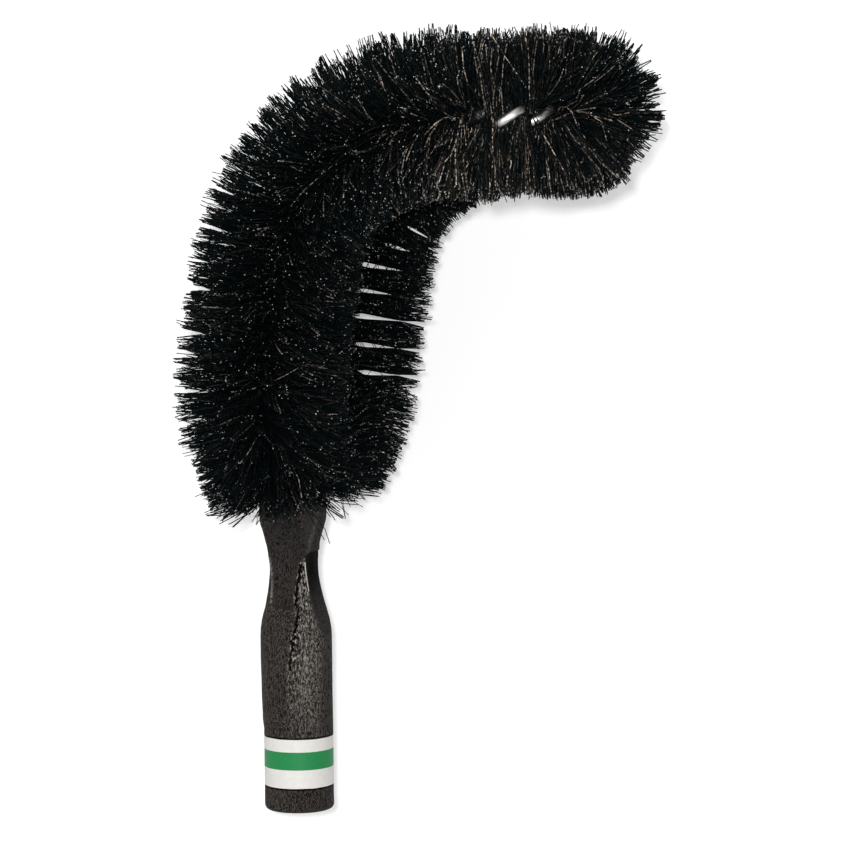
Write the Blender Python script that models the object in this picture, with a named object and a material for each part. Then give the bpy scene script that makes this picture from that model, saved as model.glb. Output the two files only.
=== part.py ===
"""A pipe brush: a turned wooden handle that carries a hooked loop of twisted wire, filled with bristles.

Lengths are in metres and +Z is up. The origin is the centre of the handle's lower end. The hook
reaches towards +X, and the two legs of the loop stand side by side along Y, the near one at -Y.
"""

import math

import bmesh
import bpy
from mathutils import Matrix, Vector

# Handle, measured up from its lower end
HANDLE_LENGTH = 0.139
HANDLE_RADIUS = 0.0153
END_ROUND = 0.0018
SOCKET_MOUTH_RADIUS = 0.011
SOCKET_FLOOR_RADIUS = 0.0095
SOCKET_DEPTH = 0.060

# Handle's head, measured down from its top
TOP_CHAMFER = 0.001
SHOULDER_DROP = 0.063
NECK_DROP = 0.0295
FLARE_DROP = 0.008
NECK_RADIUS = 0.0102
SCOOP_DROP = 0.0285
FACE_SCOOP_RADIUS = 0.0300
FACE_SCOOP_HALF = 0.0073
FACE_SCOOP_SLANT = math.radians(13)
FACE_SCOOP_SLANT_LENGTH = 0.011
FACE_SCOOP_END_RADIUS = 0.0025
FACE_SCOOP_END_ANGLE = math.radians(80)
SIDE_SCOOP_RADIUS = 0.0746
SIDE_SCOOP_HALF = 0.0076
SIDE_FLAT_HALF = 0.0100

# Paper label round the handle
LABEL_BOTTOM = 0.0112
LABEL_HEIGHT = 0.0218
LABEL_THICKNESS = 0.0003
LABEL_PROUD = 0.0001

# Twisted wire
STRAND_RADIUS = 0.0020
FIBRE_HALF_THICKNESS = 0.00025
FIBRE_HALF_WIDTH = 0.0022
FIBRE_SEAT = 0.0005
LEG_PITCH = 0.0247
TIP_PITCH = 0.0275
PITCH_CHANGE_LENGTH = 0.060
TIP_PHASE = math.radians(38)

# Loop, laid flat
LEG_HOLE_HALF_SPACING = 0.0084
LEG_HOLE_DEPTH = 0.012
LEG_HOLE_ANGLE = math.radians(10)
SPLAY_ANGLE = math.radians(53)
SPLAY_OUT_SHARE = 0.61
LOOP_HALF_WIDTH = 0.0375

# Hook, seen from the side: four bends in a row
FOOT_BEND_RADIUS = 0.060
FOOT_BEND_ANGLE = math.radians(1.8)
LEG_BEND_RADIUS = 0.620
LEG_BEND_ANGLE = math.radians(9.4)
CROOK_RADIUS = 0.077
CROOK_ANGLE = math.radians(69)
ARM_BEND_RADIUS = 0.170
ARM_BEND_ANGLE = math.radians(7.8)

# Bristles
BRUSH_RADIUS = 0.0370
BRISTLE_START = 0.005
BRISTLE_SPACING = 0.0023
BRISTLE_ROOT_WIDTH = 0.0008
BRISTLE_TIP_WIDTH = 0.0050
BRISTLE_TIP_THICKNESS = 0.0042
BRISTLE_FAN_ANGLE = math.radians(40)
BEND_REACH_SHARE = 0.88
MIDDLE_GAP = 0.0007

# Gap that every seated piece keeps, and how far a cutter runs past what it cuts
CLEARANCE = 0.0003
OVERRUN = 0.002
MERGE_DISTANCE = 0.000001

# Counts
TURNED_SEGMENTS = 36
LABEL_SEGMENTS = 48
SCOOP_ARC_STEPS = 6
SHOULDER_STEPS = 8
FLARE_STEPS = 6
ROUND_STEPS = 3
HOLE_SEGMENTS = 24
WIRE_SIDES = 8
RINGS_PER_TURN = 9
LEG_SECTIONS = 7
TIP_SECTIONS = 4

# Worked out from the sizes above
STRAND_OFFSET = STRAND_RADIUS + FIBRE_HALF_THICKNESS + FIBRE_SEAT
SPINE_RADIUS = STRAND_OFFSET + STRAND_RADIUS
TIP_QUARTER = LOOP_HALF_WIDTH * math.pi / 2


def clear_scene():
    for thing in list(bpy.data.objects):
        bpy.data.objects.remove(thing, do_unlink=True)


def finish_material(name, color, roughness, metallic=0.0):
    material = bpy.data.materials.new(name)
    material.use_nodes = True
    shader = material.node_tree.nodes["Principled BSDF"]
    shader.inputs["Base Color"].default_value = (*color, 1.0)
    shader.inputs["Roughness"].default_value = roughness
    shader.inputs["Metallic"].default_value = metallic
    return material


def add_object(name, bm, material):
    """Makes an object from a bmesh, with its faces turned outwards."""
    bmesh.ops.recalc_face_normals(bm, faces=bm.faces)
    mesh = bpy.data.meshes.new(name)
    bm.to_mesh(mesh)
    bm.free()
    thing = bpy.data.objects.new(name, mesh)
    bpy.context.collection.objects.link(thing)
    if material:
        mesh.materials.append(material)
    return thing


def shade_round(thing, sharp_angle=math.radians(35)):
    thing.data.shade_smooth()
    thing.data.set_sharp_from_angle(angle=sharp_angle)


def cut(target, cutter):
    """Takes a hidden cutter out of the target."""
    cutter.hide_render = True
    cutter.display_type = "WIRE"
    boolean = target.modifiers.new(cutter.name, "BOOLEAN")
    boolean.operation = "DIFFERENCE"
    boolean.solver = "EXACT"
    boolean.object = cutter


def turned(name, outline, segments, closed, material):
    """Turns an outline of (radius, height) points about the Z axis."""
    bm = bmesh.new()
    points = [bm.verts.new((radius, 0, height)) for radius, height in outline]
    edges = [bm.edges.new(pair) for pair in zip(points, points[1:])]
    if closed:
        edges.append(bm.edges.new((points[-1], points[0])))
    bmesh.ops.spin(
        bm,
        geom=points + edges,
        cent=(0, 0, 0),
        axis=(0, 0, 1),
        angle=2 * math.pi,
        steps=segments,
        use_merge=True,
    )
    bmesh.ops.remove_doubles(bm, verts=bm.verts, dist=MERGE_DISTANCE)
    thing = add_object(name, bm, material)
    shade_round(thing)
    return thing


# Plane routes, made of straights and arcs


def go(stretch, distance):
    """Place and heading after a distance along one stretch, which is straight or an arc."""
    along, across, heading, curvature, _ = stretch
    if curvature == 0:
        return along + distance * math.cos(heading), across + distance * math.sin(heading), heading
    turned_to = heading + distance * curvature
    return (
        along + (math.sin(turned_to) - math.sin(heading)) / curvature,
        across - (math.cos(turned_to) - math.cos(heading)) / curvature,
        turned_to,
    )


def make_route(along, across, heading, stretches):
    """A plane route from its start and its stretches of (length, curvature)."""
    route = []
    for length, curvature in stretches:
        route.append((along, across, heading, curvature, length))
        along, across, heading = go(route[-1], length)
    return route


def follow(route, distance):
    """Place, heading and curvature at a distance along a route."""
    for stretch in route[:-1]:
        if distance <= stretch[-1]:
            return *go(stretch, distance), stretch[3]
        distance -= stretch[-1]
    return *go(route[-1], distance), route[-1][3]


def route_points(route, arc_steps):
    """Points (along, across) of a route: the ends of its straights, and equal steps of its arcs."""
    points = [route[0][:2]]
    for stretch in route:
        steps = arc_steps if stretch[3] else 1
        points += [go(stretch, stretch[-1] * step / steps)[:2] for step in range(1, steps + 1)]
    return points


# Handle


def ease(share):
    """A smooth step from 0 to 1, level at both ends."""
    return (1 - math.cos(math.pi * share)) / 2


def eased_points(low, high, steps):
    """Points of a turned curve between two (radius, height) points, without the first."""
    shares = [step / steps for step in range(1, steps + 1)]
    return [
        (low[0] + (high[0] - low[0]) * ease(share), low[1] + (high[1] - low[1]) * share)
        for share in shares
    ]


def end_round_points():
    """The rounded lower edge of the handle, from its end face to its side."""
    points = []
    for step in range(ROUND_STEPS + 1):
        angle = math.pi / 2 * step / ROUND_STEPS
        radius = HANDLE_RADIUS - END_ROUND + END_ROUND * math.sin(angle)
        points.append((radius, END_ROUND - END_ROUND * math.cos(angle)))
    return points


def label_seat_points():
    """The shallow seat that the label lies in."""
    radius = HANDLE_RADIUS + LABEL_PROUD - LABEL_THICKNESS - CLEARANCE
    bottom = LABEL_BOTTOM - CLEARANCE
    top = LABEL_BOTTOM + LABEL_HEIGHT + CLEARANCE
    return [(HANDLE_RADIUS, bottom), (radius, bottom), (radius, top), (HANDLE_RADIUS, top)]


def handle_outline():
    """Half of the turned handle, from the socket's floor out and up to the middle of the top."""
    shoulder = (HANDLE_RADIUS, HANDLE_LENGTH - SHOULDER_DROP)
    neck = (NECK_RADIUS, HANDLE_LENGTH - NECK_DROP)
    flare = (HANDLE_RADIUS, HANDLE_LENGTH - FLARE_DROP)
    outline = [(0, SOCKET_DEPTH), (SOCKET_FLOOR_RADIUS, SOCKET_DEPTH), (SOCKET_MOUTH_RADIUS, 0)]
    outline += end_round_points()
    outline += label_seat_points()
    outline.append(shoulder)
    outline += eased_points(shoulder, neck, SHOULDER_STEPS)
    outline += eased_points(neck, flare, FLARE_STEPS)
    outline.append((HANDLE_RADIUS, HANDLE_LENGTH - TOP_CHAMFER))
    outline.append((HANDLE_RADIUS - TOP_CHAMFER, HANDLE_LENGTH))
    outline.append((0, HANDLE_LENGTH))
    return outline


def arc_to(radius, rise):
    """The stretch of an arc that starts level and has moved sideways by the rise at its end."""
    return radius * math.acos(1 - rise / radius), 1 / radius


def scoop_half(half, stretches):
    """Half of a scoop's outline, from its deepest place to the outside of the handle.

    The points are (away, across): how far from the deepest place along the handle, and how far
    from the handle's axis. After the last stretch the outline goes on straight.
    """
    route = make_route(0, half, 0, stretches)
    away, across, heading = go(route[-1], route[-1][-1])
    rest = (HANDLE_RADIUS + OVERRUN - across) / math.sin(heading)
    return route_points(route + [(away, across, heading, 0, rest)], SCOOP_ARC_STEPS)


def scoop_outline(lower, upper):
    """Joins the two halves of a scoop to an outline of (distance from the axis, height) points."""
    height = HANDLE_LENGTH - SCOOP_DROP
    points = [(across, height - away) for away, across in reversed(lower)]
    return points + [(across, height + away) for away, across in upper[1:]]


def face_scoop_outline():
    """A scoop of the near or the far face. Its lower half runs out at a slant to a short round end."""
    lower = [
        (FACE_SCOOP_RADIUS * FACE_SCOOP_SLANT, 1 / FACE_SCOOP_RADIUS),
        (FACE_SCOOP_SLANT_LENGTH, 0),
        (FACE_SCOOP_END_RADIUS * (FACE_SCOOP_END_ANGLE - FACE_SCOOP_SLANT), 1 / FACE_SCOOP_END_RADIUS),
    ]
    upper = [arc_to(FACE_SCOOP_RADIUS, HANDLE_RADIUS - FACE_SCOOP_HALF)]
    return scoop_outline(scoop_half(FACE_SCOOP_HALF, lower), scoop_half(FACE_SCOOP_HALF, upper))


def side_scoop_outline():
    """A scoop of a side: one long arc, and a flat that goes straight up from it."""
    lower = [arc_to(SIDE_SCOOP_RADIUS, HANDLE_RADIUS - SIDE_SCOOP_HALF)]
    upper = make_route(0, SIDE_SCOOP_HALF, 0, [arc_to(SIDE_SCOOP_RADIUS, SIDE_FLAT_HALF - SIDE_SCOOP_HALF)])
    top = SCOOP_DROP + OVERRUN
    upper_points = route_points(upper, SCOOP_ARC_STEPS)
    upper_points += [(top, SIDE_FLAT_HALF), (top, HANDLE_RADIUS + OVERRUN)]
    return scoop_outline(scoop_half(SIDE_SCOOP_HALF, lower), upper_points)


def scoop_cutter(name, outline, turn):
    """A prism over a scoop's outline, turned about the Z axis to the side that it cuts."""
    bm = bmesh.new()
    reach = HANDLE_RADIUS + OVERRUN
    face = bm.faces.new([bm.verts.new((across, -reach, height)) for across, height in outline])
    grown = bmesh.ops.extrude_face_region(bm, geom=[face])
    moved = [item for item in grown["geom"] if isinstance(item, bmesh.types.BMVert)]
    bmesh.ops.translate(bm, verts=moved, vec=(0, 2 * reach, 0))
    bmesh.ops.rotate(bm, verts=bm.verts, matrix=Matrix.Rotation(turn, 3, "Z"))
    return add_object(name, bm, None)


def leg_hole_cutter(name, side):
    """A slanted round hole for one leg of the loop. The side is -1 for the near leg and 1 for the far one."""
    bm = bmesh.new()
    floor = -LEG_HOLE_DEPTH / math.cos(LEG_HOLE_ANGLE) - CLEARANCE
    length = OVERRUN - floor
    radius = SPINE_RADIUS + CLEARANCE
    bmesh.ops.create_cone(
        bm, cap_ends=True, segments=HOLE_SEGMENTS, radius1=radius, radius2=radius, depth=length
    )
    bmesh.ops.translate(bm, verts=bm.verts, vec=(0, 0, (OVERRUN + floor) / 2))
    lean = Matrix.Rotation(-side * LEG_HOLE_ANGLE, 4, "X")
    seat = Matrix.Translation((0, side * LEG_HOLE_HALF_SPACING, HANDLE_LENGTH))
    bmesh.ops.transform(bm, matrix=seat @ lean, verts=bm.verts)
    return add_object(name, bm, None)


def build_handle(wood):
    handle = turned("handle", handle_outline(), TURNED_SEGMENTS, False, wood)
    face = face_scoop_outline()
    side = side_scoop_outline()
    cut(handle, scoop_cutter("hook_side_scoop", side, 0))
    cut(handle, scoop_cutter("far_face_scoop", face, math.pi / 2))
    cut(handle, scoop_cutter("back_side_scoop", side, math.pi))
    cut(handle, scoop_cutter("near_face_scoop", face, -math.pi / 2))
    cut(handle, leg_hole_cutter("near_leg_hole", -1))
    cut(handle, leg_hole_cutter("far_leg_hole", 1))
    return handle


def build_label(paper):
    outer = HANDLE_RADIUS + LABEL_PROUD
    inner = outer - LABEL_THICKNESS
    top = LABEL_BOTTOM + LABEL_HEIGHT
    outline = [(inner, LABEL_BOTTOM), (outer, LABEL_BOTTOM), (outer, top), (inner, top)]
    return turned("label_band", outline, LABEL_SEGMENTS, True, paper)


# Route of the wire


def hook_route():
    """The hook from the side, from the handle's top: height first, reach towards +X second."""
    bends = (
        (FOOT_BEND_RADIUS, FOOT_BEND_ANGLE),
        (LEG_BEND_RADIUS, LEG_BEND_ANGLE),
        (CROOK_RADIUS, CROOK_ANGLE),
        (ARM_BEND_RADIUS, ARM_BEND_ANGLE),
    )
    stretches = [(radius * angle, 1 / radius) for radius, angle in bends]
    stretches.append((LOOP_HALF_WIDTH, 0))
    return make_route(HANDLE_LENGTH, 0, 0, stretches)


def flat_half_route(arm_start):
    """Half of the loop laid flat, from the floor of its hole to the middle of the tip.

    It comes out of its hole, splays out to the loop's full width, runs straight up to where the
    arm ends, and turns a quarter circle to the middle of the tip.
    """
    widening = LOOP_HALF_WIDTH - LEG_HOLE_HALF_SPACING
    out_radius = SPLAY_OUT_SHARE * widening / (math.cos(LEG_HOLE_ANGLE) - math.cos(SPLAY_ANGLE))
    back_radius = (1 - SPLAY_OUT_SHARE) * widening / (1 - math.cos(SPLAY_ANGLE))
    out_rise = out_radius * (math.sin(SPLAY_ANGLE) - math.sin(LEG_HOLE_ANGLE))
    back_rise = back_radius * math.sin(SPLAY_ANGLE)
    stretches = [
        (LEG_HOLE_DEPTH / math.cos(LEG_HOLE_ANGLE), 0),
        (out_radius * (SPLAY_ANGLE - LEG_HOLE_ANGLE), 1 / out_radius),
        (back_radius * SPLAY_ANGLE, -1 / back_radius),
        (arm_start - out_rise - back_rise, 0),
        (TIP_QUARTER, -1 / LOOP_HALF_WIDTH),
    ]
    floor_width = LEG_HOLE_HALF_SPACING - LEG_HOLE_DEPTH * math.tan(LEG_HOLE_ANGLE)
    return make_route(-LEG_HOLE_DEPTH, floor_width, LEG_HOLE_ANGLE, stretches)


HOOK = hook_route()
ARM_START = sum(stretch[-1] for stretch in HOOK[:-1])
HALF_LOOP = flat_half_route(ARM_START)
IN_HOLE = HALF_LOOP[0][-1]
HALF_LENGTH = sum(stretch[-1] for stretch in HALF_LOOP)


class Spot:
    """A place on the wire's centreline, a distance from the floor of the near leg's hole.

    It has the point, the tangent, the normal that stands out of the loop's surface, the level
    that lies across it, and the bend, a vector to the bend's centre of one over its radius.
    """

    def __init__(self, distance):
        side = -1 if distance < HALF_LENGTH else 1
        reach = HALF_LENGTH - abs(distance - HALF_LENGTH)
        along, width, heading, curvature = follow(HALF_LOOP, reach)
        if along < 0:
            height, hooked, lean = HANDLE_LENGTH + along, 0, 0
        else:
            height, hooked, lean, _ = follow(HOOK, along)
        up = Vector((math.sin(lean), 0, math.cos(lean)))
        out = Vector((0, side, 0))
        self.point = Vector((hooked, side * width, height))
        self.tangent = -side * (math.cos(heading) * up + math.sin(heading) * out)
        self.normal = Vector((-math.cos(lean), 0, math.sin(lean)))
        self.level = self.tangent.cross(self.normal)
        self.bend = curvature * (math.cos(heading) * out - math.sin(heading) * up)
        self.twist = twist_at(distance)

    def ray(self, angle=0):
        """The direction across the wire in which the fibres stand, turned by an angle."""
        turn = self.twist + angle
        return math.cos(turn) * self.normal + math.sin(turn) * self.level


def twist_at(distance):
    """How far the wires have turned. They turn left-handed, in longer turns round the tip."""
    away = distance - HALF_LENGTH
    tip = min(abs(away), TIP_QUARTER)
    change = min(max(abs(away) - TIP_QUARTER, 0), PITCH_CHANGE_LENGTH)
    leg = max(abs(away) - TIP_QUARTER - PITCH_CHANGE_LENGTH, 0)
    faster = (1 / LEG_PITCH - 1 / TIP_PITCH) / PITCH_CHANGE_LENGTH
    turns = (tip + change) / TIP_PITCH + faster * change * change / 2 + leg / LEG_PITCH
    return TIP_PHASE - math.copysign(2 * math.pi * turns, away)


# Wires


def wire_ring(bm, distance, angle):
    """One ring of a wire, in the plane across its own helix, with a flat side towards the other wire."""
    spot = Spot(distance)
    outward = spot.ray(angle)
    around = spot.tangent.cross(outward)
    slope = 2 * math.pi * STRAND_OFFSET / LEG_PITCH
    helix = (spot.tangent - slope * around).normalized()
    sideways = helix.cross(outward)
    centre = spot.point + STRAND_OFFSET * outward
    ring = []
    for side in range(WIRE_SIDES):
        turn = 2 * math.pi * (side + 0.5) / WIRE_SIDES
        ring.append(
            bm.verts.new(centre + STRAND_RADIUS * (math.cos(turn) * outward + math.sin(turn) * sideways))
        )
    return ring


def skin(bm, first, second):
    """Joins two rings with faces and returns them in order round the ring."""
    count = len(first)
    return [
        bm.faces.new((first[i], first[(i + 1) % count], second[(i + 1) % count], second[i]))
        for i in range(count)
    ]


def build_wire(name, angle, steel):
    """One of the two wires, from just above the floor of one hole to just above the other's."""
    bm = bmesh.new()
    start = STRAND_RADIUS
    length = 2 * (HALF_LENGTH - start)
    steps = math.ceil(length / LEG_PITCH * RINGS_PER_TURN)
    rings = [wire_ring(bm, start + length * step / steps, angle) for step in range(steps + 1)]
    for first, second in zip(rings, rings[1:]):
        skin(bm, first, second)
    bm.faces.new(rings[0])
    bm.faces.new(rings[-1])
    thing = add_object(name, bm, steel)
    shade_round(thing, math.radians(70))
    return thing


# Bristles


def bristle_reach(distance, spot, ray):
    """How far a bristle reaches from the wire, clear of the other leg and of its neighbours in a bend."""
    reach = BRUSH_RADIUS
    inward = ray.dot(spot.bend)
    if inward * reach > BEND_REACH_SHARE:
        reach = BEND_REACH_SHARE / inward
    on_leg = abs(distance - HALF_LENGTH) > TIP_QUARTER
    if on_leg and spot.point.y * ray.y < 0:
        corner = (BRISTLE_TIP_WIDTH + BRISTLE_TIP_THICKNESS) / 2 * math.sqrt(1 - ray.y * ray.y)
        reach = min(reach, (abs(spot.point.y) - MIDDLE_GAP - corner) / abs(ray.y))
    return reach


def fibre_ring(bm, distance):
    """A cut across the thin band of fibres that lies between the wires."""
    spot = Spot(distance)
    across = FIBRE_HALF_WIDTH * spot.ray()
    through = FIBRE_HALF_THICKNESS * spot.ray(math.pi / 2)
    corners = (across + through, across - through, -across - through, through - across)
    return [bm.verts.new(spot.point + corner) for corner in corners]


def grow_bristle(bm, face, distance, way, fan):
    """Draws one edge face of the band out into a bristle, which widens to its tip.

    The way is 1 or -1 along the ray, and the fan is the bristle's own angle from it. In a bend the
    inner bristles come closer together, so they widen less.
    """
    spot = Spot(distance)
    ray = way * spot.ray(fan)
    side = way * spot.ray(fan + math.pi / 2)
    through = way * spot.ray(math.pi / 2)
    root = face.calc_center_median()
    reach = bristle_reach(distance, spot, ray)
    half_width = BRISTLE_TIP_WIDTH / 2 * min(1, 1 - reach * ray.dot(spot.bend))
    half_thickness = BRISTLE_TIP_THICKNESS / 2
    grown = bmesh.ops.extrude_discrete_faces(bm, faces=[face])["faces"][0]
    for vert in grown.verts:
        from_root = vert.co - root
        along = math.copysign(half_width, from_root.dot(spot.tangent))
        across = math.copysign(half_thickness, from_root.dot(through))
        vert.co = spot.point + reach * ray + along * spot.tangent + across * side


def build_bristles(name, start, end, steps_before, fibre):
    """A stretch of the band between the wires, with a bristle to each side at every step.

    The bristles fan out round the wires: one is turned back, one is straight, one is turned on, and
    so on in the steps after it. It returns the count of the steps from the start of the wire.
    """
    bm = bmesh.new()
    first, last = start + CLEARANCE / 2, end - CLEARANCE / 2
    count = round((last - first) / BRISTLE_SPACING)
    places = [first + (last - first) * (step + 0.5) / count for step in range(count)]
    ring = fibre_ring(bm, first)
    bm.faces.new(ring)
    for step, place in enumerate(places, steps_before):
        fan = BRISTLE_FAN_ANGLE * (1 - step % 3)
        root_start = fibre_ring(bm, place - BRISTLE_ROOT_WIDTH / 2)
        root_end = fibre_ring(bm, place + BRISTLE_ROOT_WIDTH / 2)
        skin(bm, ring, root_start)
        faces = skin(bm, root_start, root_end)
        grow_bristle(bm, faces[0], place, 1, fan)
        grow_bristle(bm, faces[2], place, -1, fan)
        ring = root_end
    end_ring = fibre_ring(bm, last)
    skin(bm, ring, end_ring)
    bm.faces.new(end_ring)
    add_object(name, bm, fibre)
    return steps_before + count


def bristle_sections():
    """Name, start and end of each section, in their order along the wire."""
    leg_start = IN_HOLE + BRISTLE_START
    tip_start = HALF_LENGTH - TIP_QUARTER
    leg_step = (tip_start - leg_start) / LEG_SECTIONS
    tip_step = 2 * TIP_QUARTER / TIP_SECTIONS
    far_start = tip_start + 2 * TIP_QUARTER
    sections = []
    for i in range(LEG_SECTIONS):
        low = leg_start + i * leg_step
        sections.append((f"near_leg_bristles_{i + 1}", low, low + leg_step))
    for i in range(TIP_SECTIONS):
        low = tip_start + i * tip_step
        sections.append((f"tip_bristles_{i + 1}", low, low + tip_step))
    for i in range(LEG_SECTIONS):
        low = far_start + i * leg_step
        sections.append((f"far_leg_bristles_{LEG_SECTIONS - i}", low, low + leg_step))
    return sections


def build_brush(fibre):
    """All the bristles, up the near leg, round the tip and down the far leg."""
    steps = 0
    for name, start, end in bristle_sections():
        steps = build_bristles(name, start, end, steps, fibre)
    return 2 * steps


def main():
    clear_scene()
    wood = finish_material("black_wood", (0.022, 0.018, 0.016), 0.5)
    paper = finish_material("white_paper", (0.85, 0.85, 0.82), 0.7)
    steel = finish_material("galvanised_wire", (0.58, 0.59, 0.60), 0.35, 1.0)
    fibre = finish_material("black_bristle", (0.012, 0.010, 0.009), 0.55)
    build_handle(wood)
    build_label(paper)
    build_wire("spine_wire_a", math.pi / 2, steel)
    build_wire("spine_wire_b", -math.pi / 2, steel)
    count = build_brush(fibre)
    print("wire length along the loop:", round(2 * HALF_LENGTH, 4))
    print("bristles:", count)


main()
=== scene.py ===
# %% [markdown]
# # A hooked pipe brush
#
# The real brush is two galvanised wires twisted round a thick row of stiff black fibres. The twisted
# wire is bent into a long loop, the loop is bent over into a hook, and both ends are glued into a
# turned and carved wooden handle. A paper label goes round the handle's lower end.
#
# The CAD model already has every piece at its real size. This lesson dresses it: it makes the full
# coat of fibres, the smooth wires, the worn wood and the paper, and then lights them.

# %% Load the CAD model
import math

import bpy
import numpy as np
from mathutils import Matrix, Vector, noise


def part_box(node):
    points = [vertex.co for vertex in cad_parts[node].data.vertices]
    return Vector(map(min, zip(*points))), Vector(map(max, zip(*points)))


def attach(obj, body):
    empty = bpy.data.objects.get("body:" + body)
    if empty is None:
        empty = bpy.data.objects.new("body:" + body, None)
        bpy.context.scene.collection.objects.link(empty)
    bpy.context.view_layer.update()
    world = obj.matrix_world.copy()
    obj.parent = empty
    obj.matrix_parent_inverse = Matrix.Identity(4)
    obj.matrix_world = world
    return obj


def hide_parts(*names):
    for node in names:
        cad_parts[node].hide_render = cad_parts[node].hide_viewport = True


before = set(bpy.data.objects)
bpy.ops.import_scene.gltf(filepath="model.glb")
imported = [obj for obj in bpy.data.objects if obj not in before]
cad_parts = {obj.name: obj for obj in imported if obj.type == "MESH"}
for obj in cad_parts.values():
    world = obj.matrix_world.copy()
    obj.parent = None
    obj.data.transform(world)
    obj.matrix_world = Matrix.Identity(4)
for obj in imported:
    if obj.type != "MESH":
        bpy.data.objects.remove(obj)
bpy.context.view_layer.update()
print("CAD nodes:", len(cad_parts))

# %% [markdown]
# ## Shares and noise
#
# Much of the brush grows or fades from one place to another: the opening of a gap, the lean of the
# fibres, the wear of the wood. Each of these is a share from 0 to 1, and three curves are enough for
# all of them. What is irregular, such as grain, comes from smooth noise.


# %% Curves that give a share, and noise
def rise(value, low, high):
    """0 at low, 1 at high, straight between them and held outside, also where low is the higher."""
    return np.clip((value - low) / (high - low), 0, 1)


def ramp(value, length, steep=1.0):
    """1 at 0, falling straight to 0 at a length either side. A steep one is held at 1 near the middle."""
    return np.clip(steep * (1 - np.abs(value) / length), 0, 1)


def bell(value, half):
    """1 at 0, falling smoothly to 0 at half either side."""
    return np.clip(1 - (value / half) ** 2, 0, None) ** 2


def noise_at(x, y, z):
    """Smooth noise at arrays of places."""
    return np.array([noise.noise(place) for place in zip(*np.broadcast_arrays(x, y, z))])


print("halfway down a ramp:", ramp(0.5, 1), "and down a bell:", bell(0.5, 1))

# %% [markdown]
# ## Where the wire runs
#
# Every fibre starts on the wire, so the wire's centreline comes first. It could be drawn by hand as a
# curve, but the CAD model makes it by rule, and the fibres must follow the same rule to land in the
# same place. The loop is laid out flat: out of a slanted hole, through a splay, straight up, and round
# the tip. Then it is bent sideways by four arcs. These are the CAD model's own sizes, in metres.

# %% Sizes of the loop and the hook
HANDLE_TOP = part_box("handle")[1].z
LEG_HOLE_HALF_SPACING = 0.0084
LEG_HOLE_DEPTH = 0.012
LEG_HOLE_ANGLE = math.radians(10)
SPLAY_ANGLE = math.radians(53)
SPLAY_OUT_SHARE = 0.61
LOOP_HALF_WIDTH = 0.0375
TIP_QUARTER = LOOP_HALF_WIDTH * math.pi / 2
HOOK_BENDS = (
    (0.060, math.radians(1.8)),
    (0.620, math.radians(9.4)),
    (0.077, math.radians(69)),
    (0.170, math.radians(7.8)),
)
print("handle top:", round(HANDLE_TOP, 4), "bends in the hook:", len(HOOK_BENDS))


# %% Follow a route of straights and arcs
def go(stretch, distance):
    """Place and heading after a distance along one stretch, which is straight or an arc."""
    along, across, heading, curvature, _ = stretch
    if curvature == 0:
        return along + distance * math.cos(heading), across + distance * math.sin(heading), heading
    turned_to = heading + distance * curvature
    return (
        along + (math.sin(turned_to) - math.sin(heading)) / curvature,
        across - (math.cos(turned_to) - math.cos(heading)) / curvature,
        turned_to,
    )


def make_route(along, across, heading, stretches):
    """A plane route from its start and its stretches of (length, curvature)."""
    route = []
    for length, curvature in stretches:
        route.append((along, across, heading, curvature, length))
        along, across, heading = go(route[-1], length)
    return route


def follow(route, distance):
    """Place, heading and curvature at a distance along a route."""
    for stretch in route[:-1]:
        if distance <= stretch[-1]:
            return *go(stretch, distance), stretch[3]
        distance -= stretch[-1]
    return *go(route[-1], distance), route[-1][3]


# %% Lay out the hook and the flat loop
def hook_route():
    stretches = [(radius * angle, 1 / radius) for radius, angle in HOOK_BENDS]
    return make_route(HANDLE_TOP, 0, 0, stretches + [(LOOP_HALF_WIDTH, 0)])


def flat_half_route(arm_start):
    """Half of the flat loop, from the floor of its hole to the middle of the tip."""
    widening = LOOP_HALF_WIDTH - LEG_HOLE_HALF_SPACING
    out_radius = SPLAY_OUT_SHARE * widening / (math.cos(LEG_HOLE_ANGLE) - math.cos(SPLAY_ANGLE))
    back_radius = (1 - SPLAY_OUT_SHARE) * widening / (1 - math.cos(SPLAY_ANGLE))
    out_rise = out_radius * (math.sin(SPLAY_ANGLE) - math.sin(LEG_HOLE_ANGLE))
    stretches = [
        (LEG_HOLE_DEPTH / math.cos(LEG_HOLE_ANGLE), 0),
        (out_radius * (SPLAY_ANGLE - LEG_HOLE_ANGLE), 1 / out_radius),
        (back_radius * SPLAY_ANGLE, -1 / back_radius),
        (arm_start - out_rise - back_radius * math.sin(SPLAY_ANGLE), 0),
        (TIP_QUARTER, -1 / LOOP_HALF_WIDTH),
    ]
    floor_width = LEG_HOLE_HALF_SPACING - LEG_HOLE_DEPTH * math.tan(LEG_HOLE_ANGLE)
    return make_route(-LEG_HOLE_DEPTH, floor_width, LEG_HOLE_ANGLE, stretches)


HOOK = hook_route()
HALF_LOOP = flat_half_route(sum(stretch[-1] for stretch in HOOK[:-1]))
IN_HOLE = HALF_LOOP[0][-1]
HALF_LENGTH = sum(stretch[-1] for stretch in HALF_LOOP)
print("wire along the loop:", round(2 * HALF_LENGTH, 4), "m")

# %% [markdown]
# ## The twist
#
# Twisting the two wires is what locks the fibres in. The pair turns left-handed, once in 24.7 mm up
# the legs and in slightly longer turns round the tip. The angle of the twist says in which direction
# the fibres stand at each place, and a quarter turn from them lie the two wires.

# %% Angle of the twist
LEG_PITCH = 0.0247
TIP_PITCH = 0.0275
PITCH_CHANGE_LENGTH = 0.060
TIP_PHASE = math.radians(38)


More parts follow.
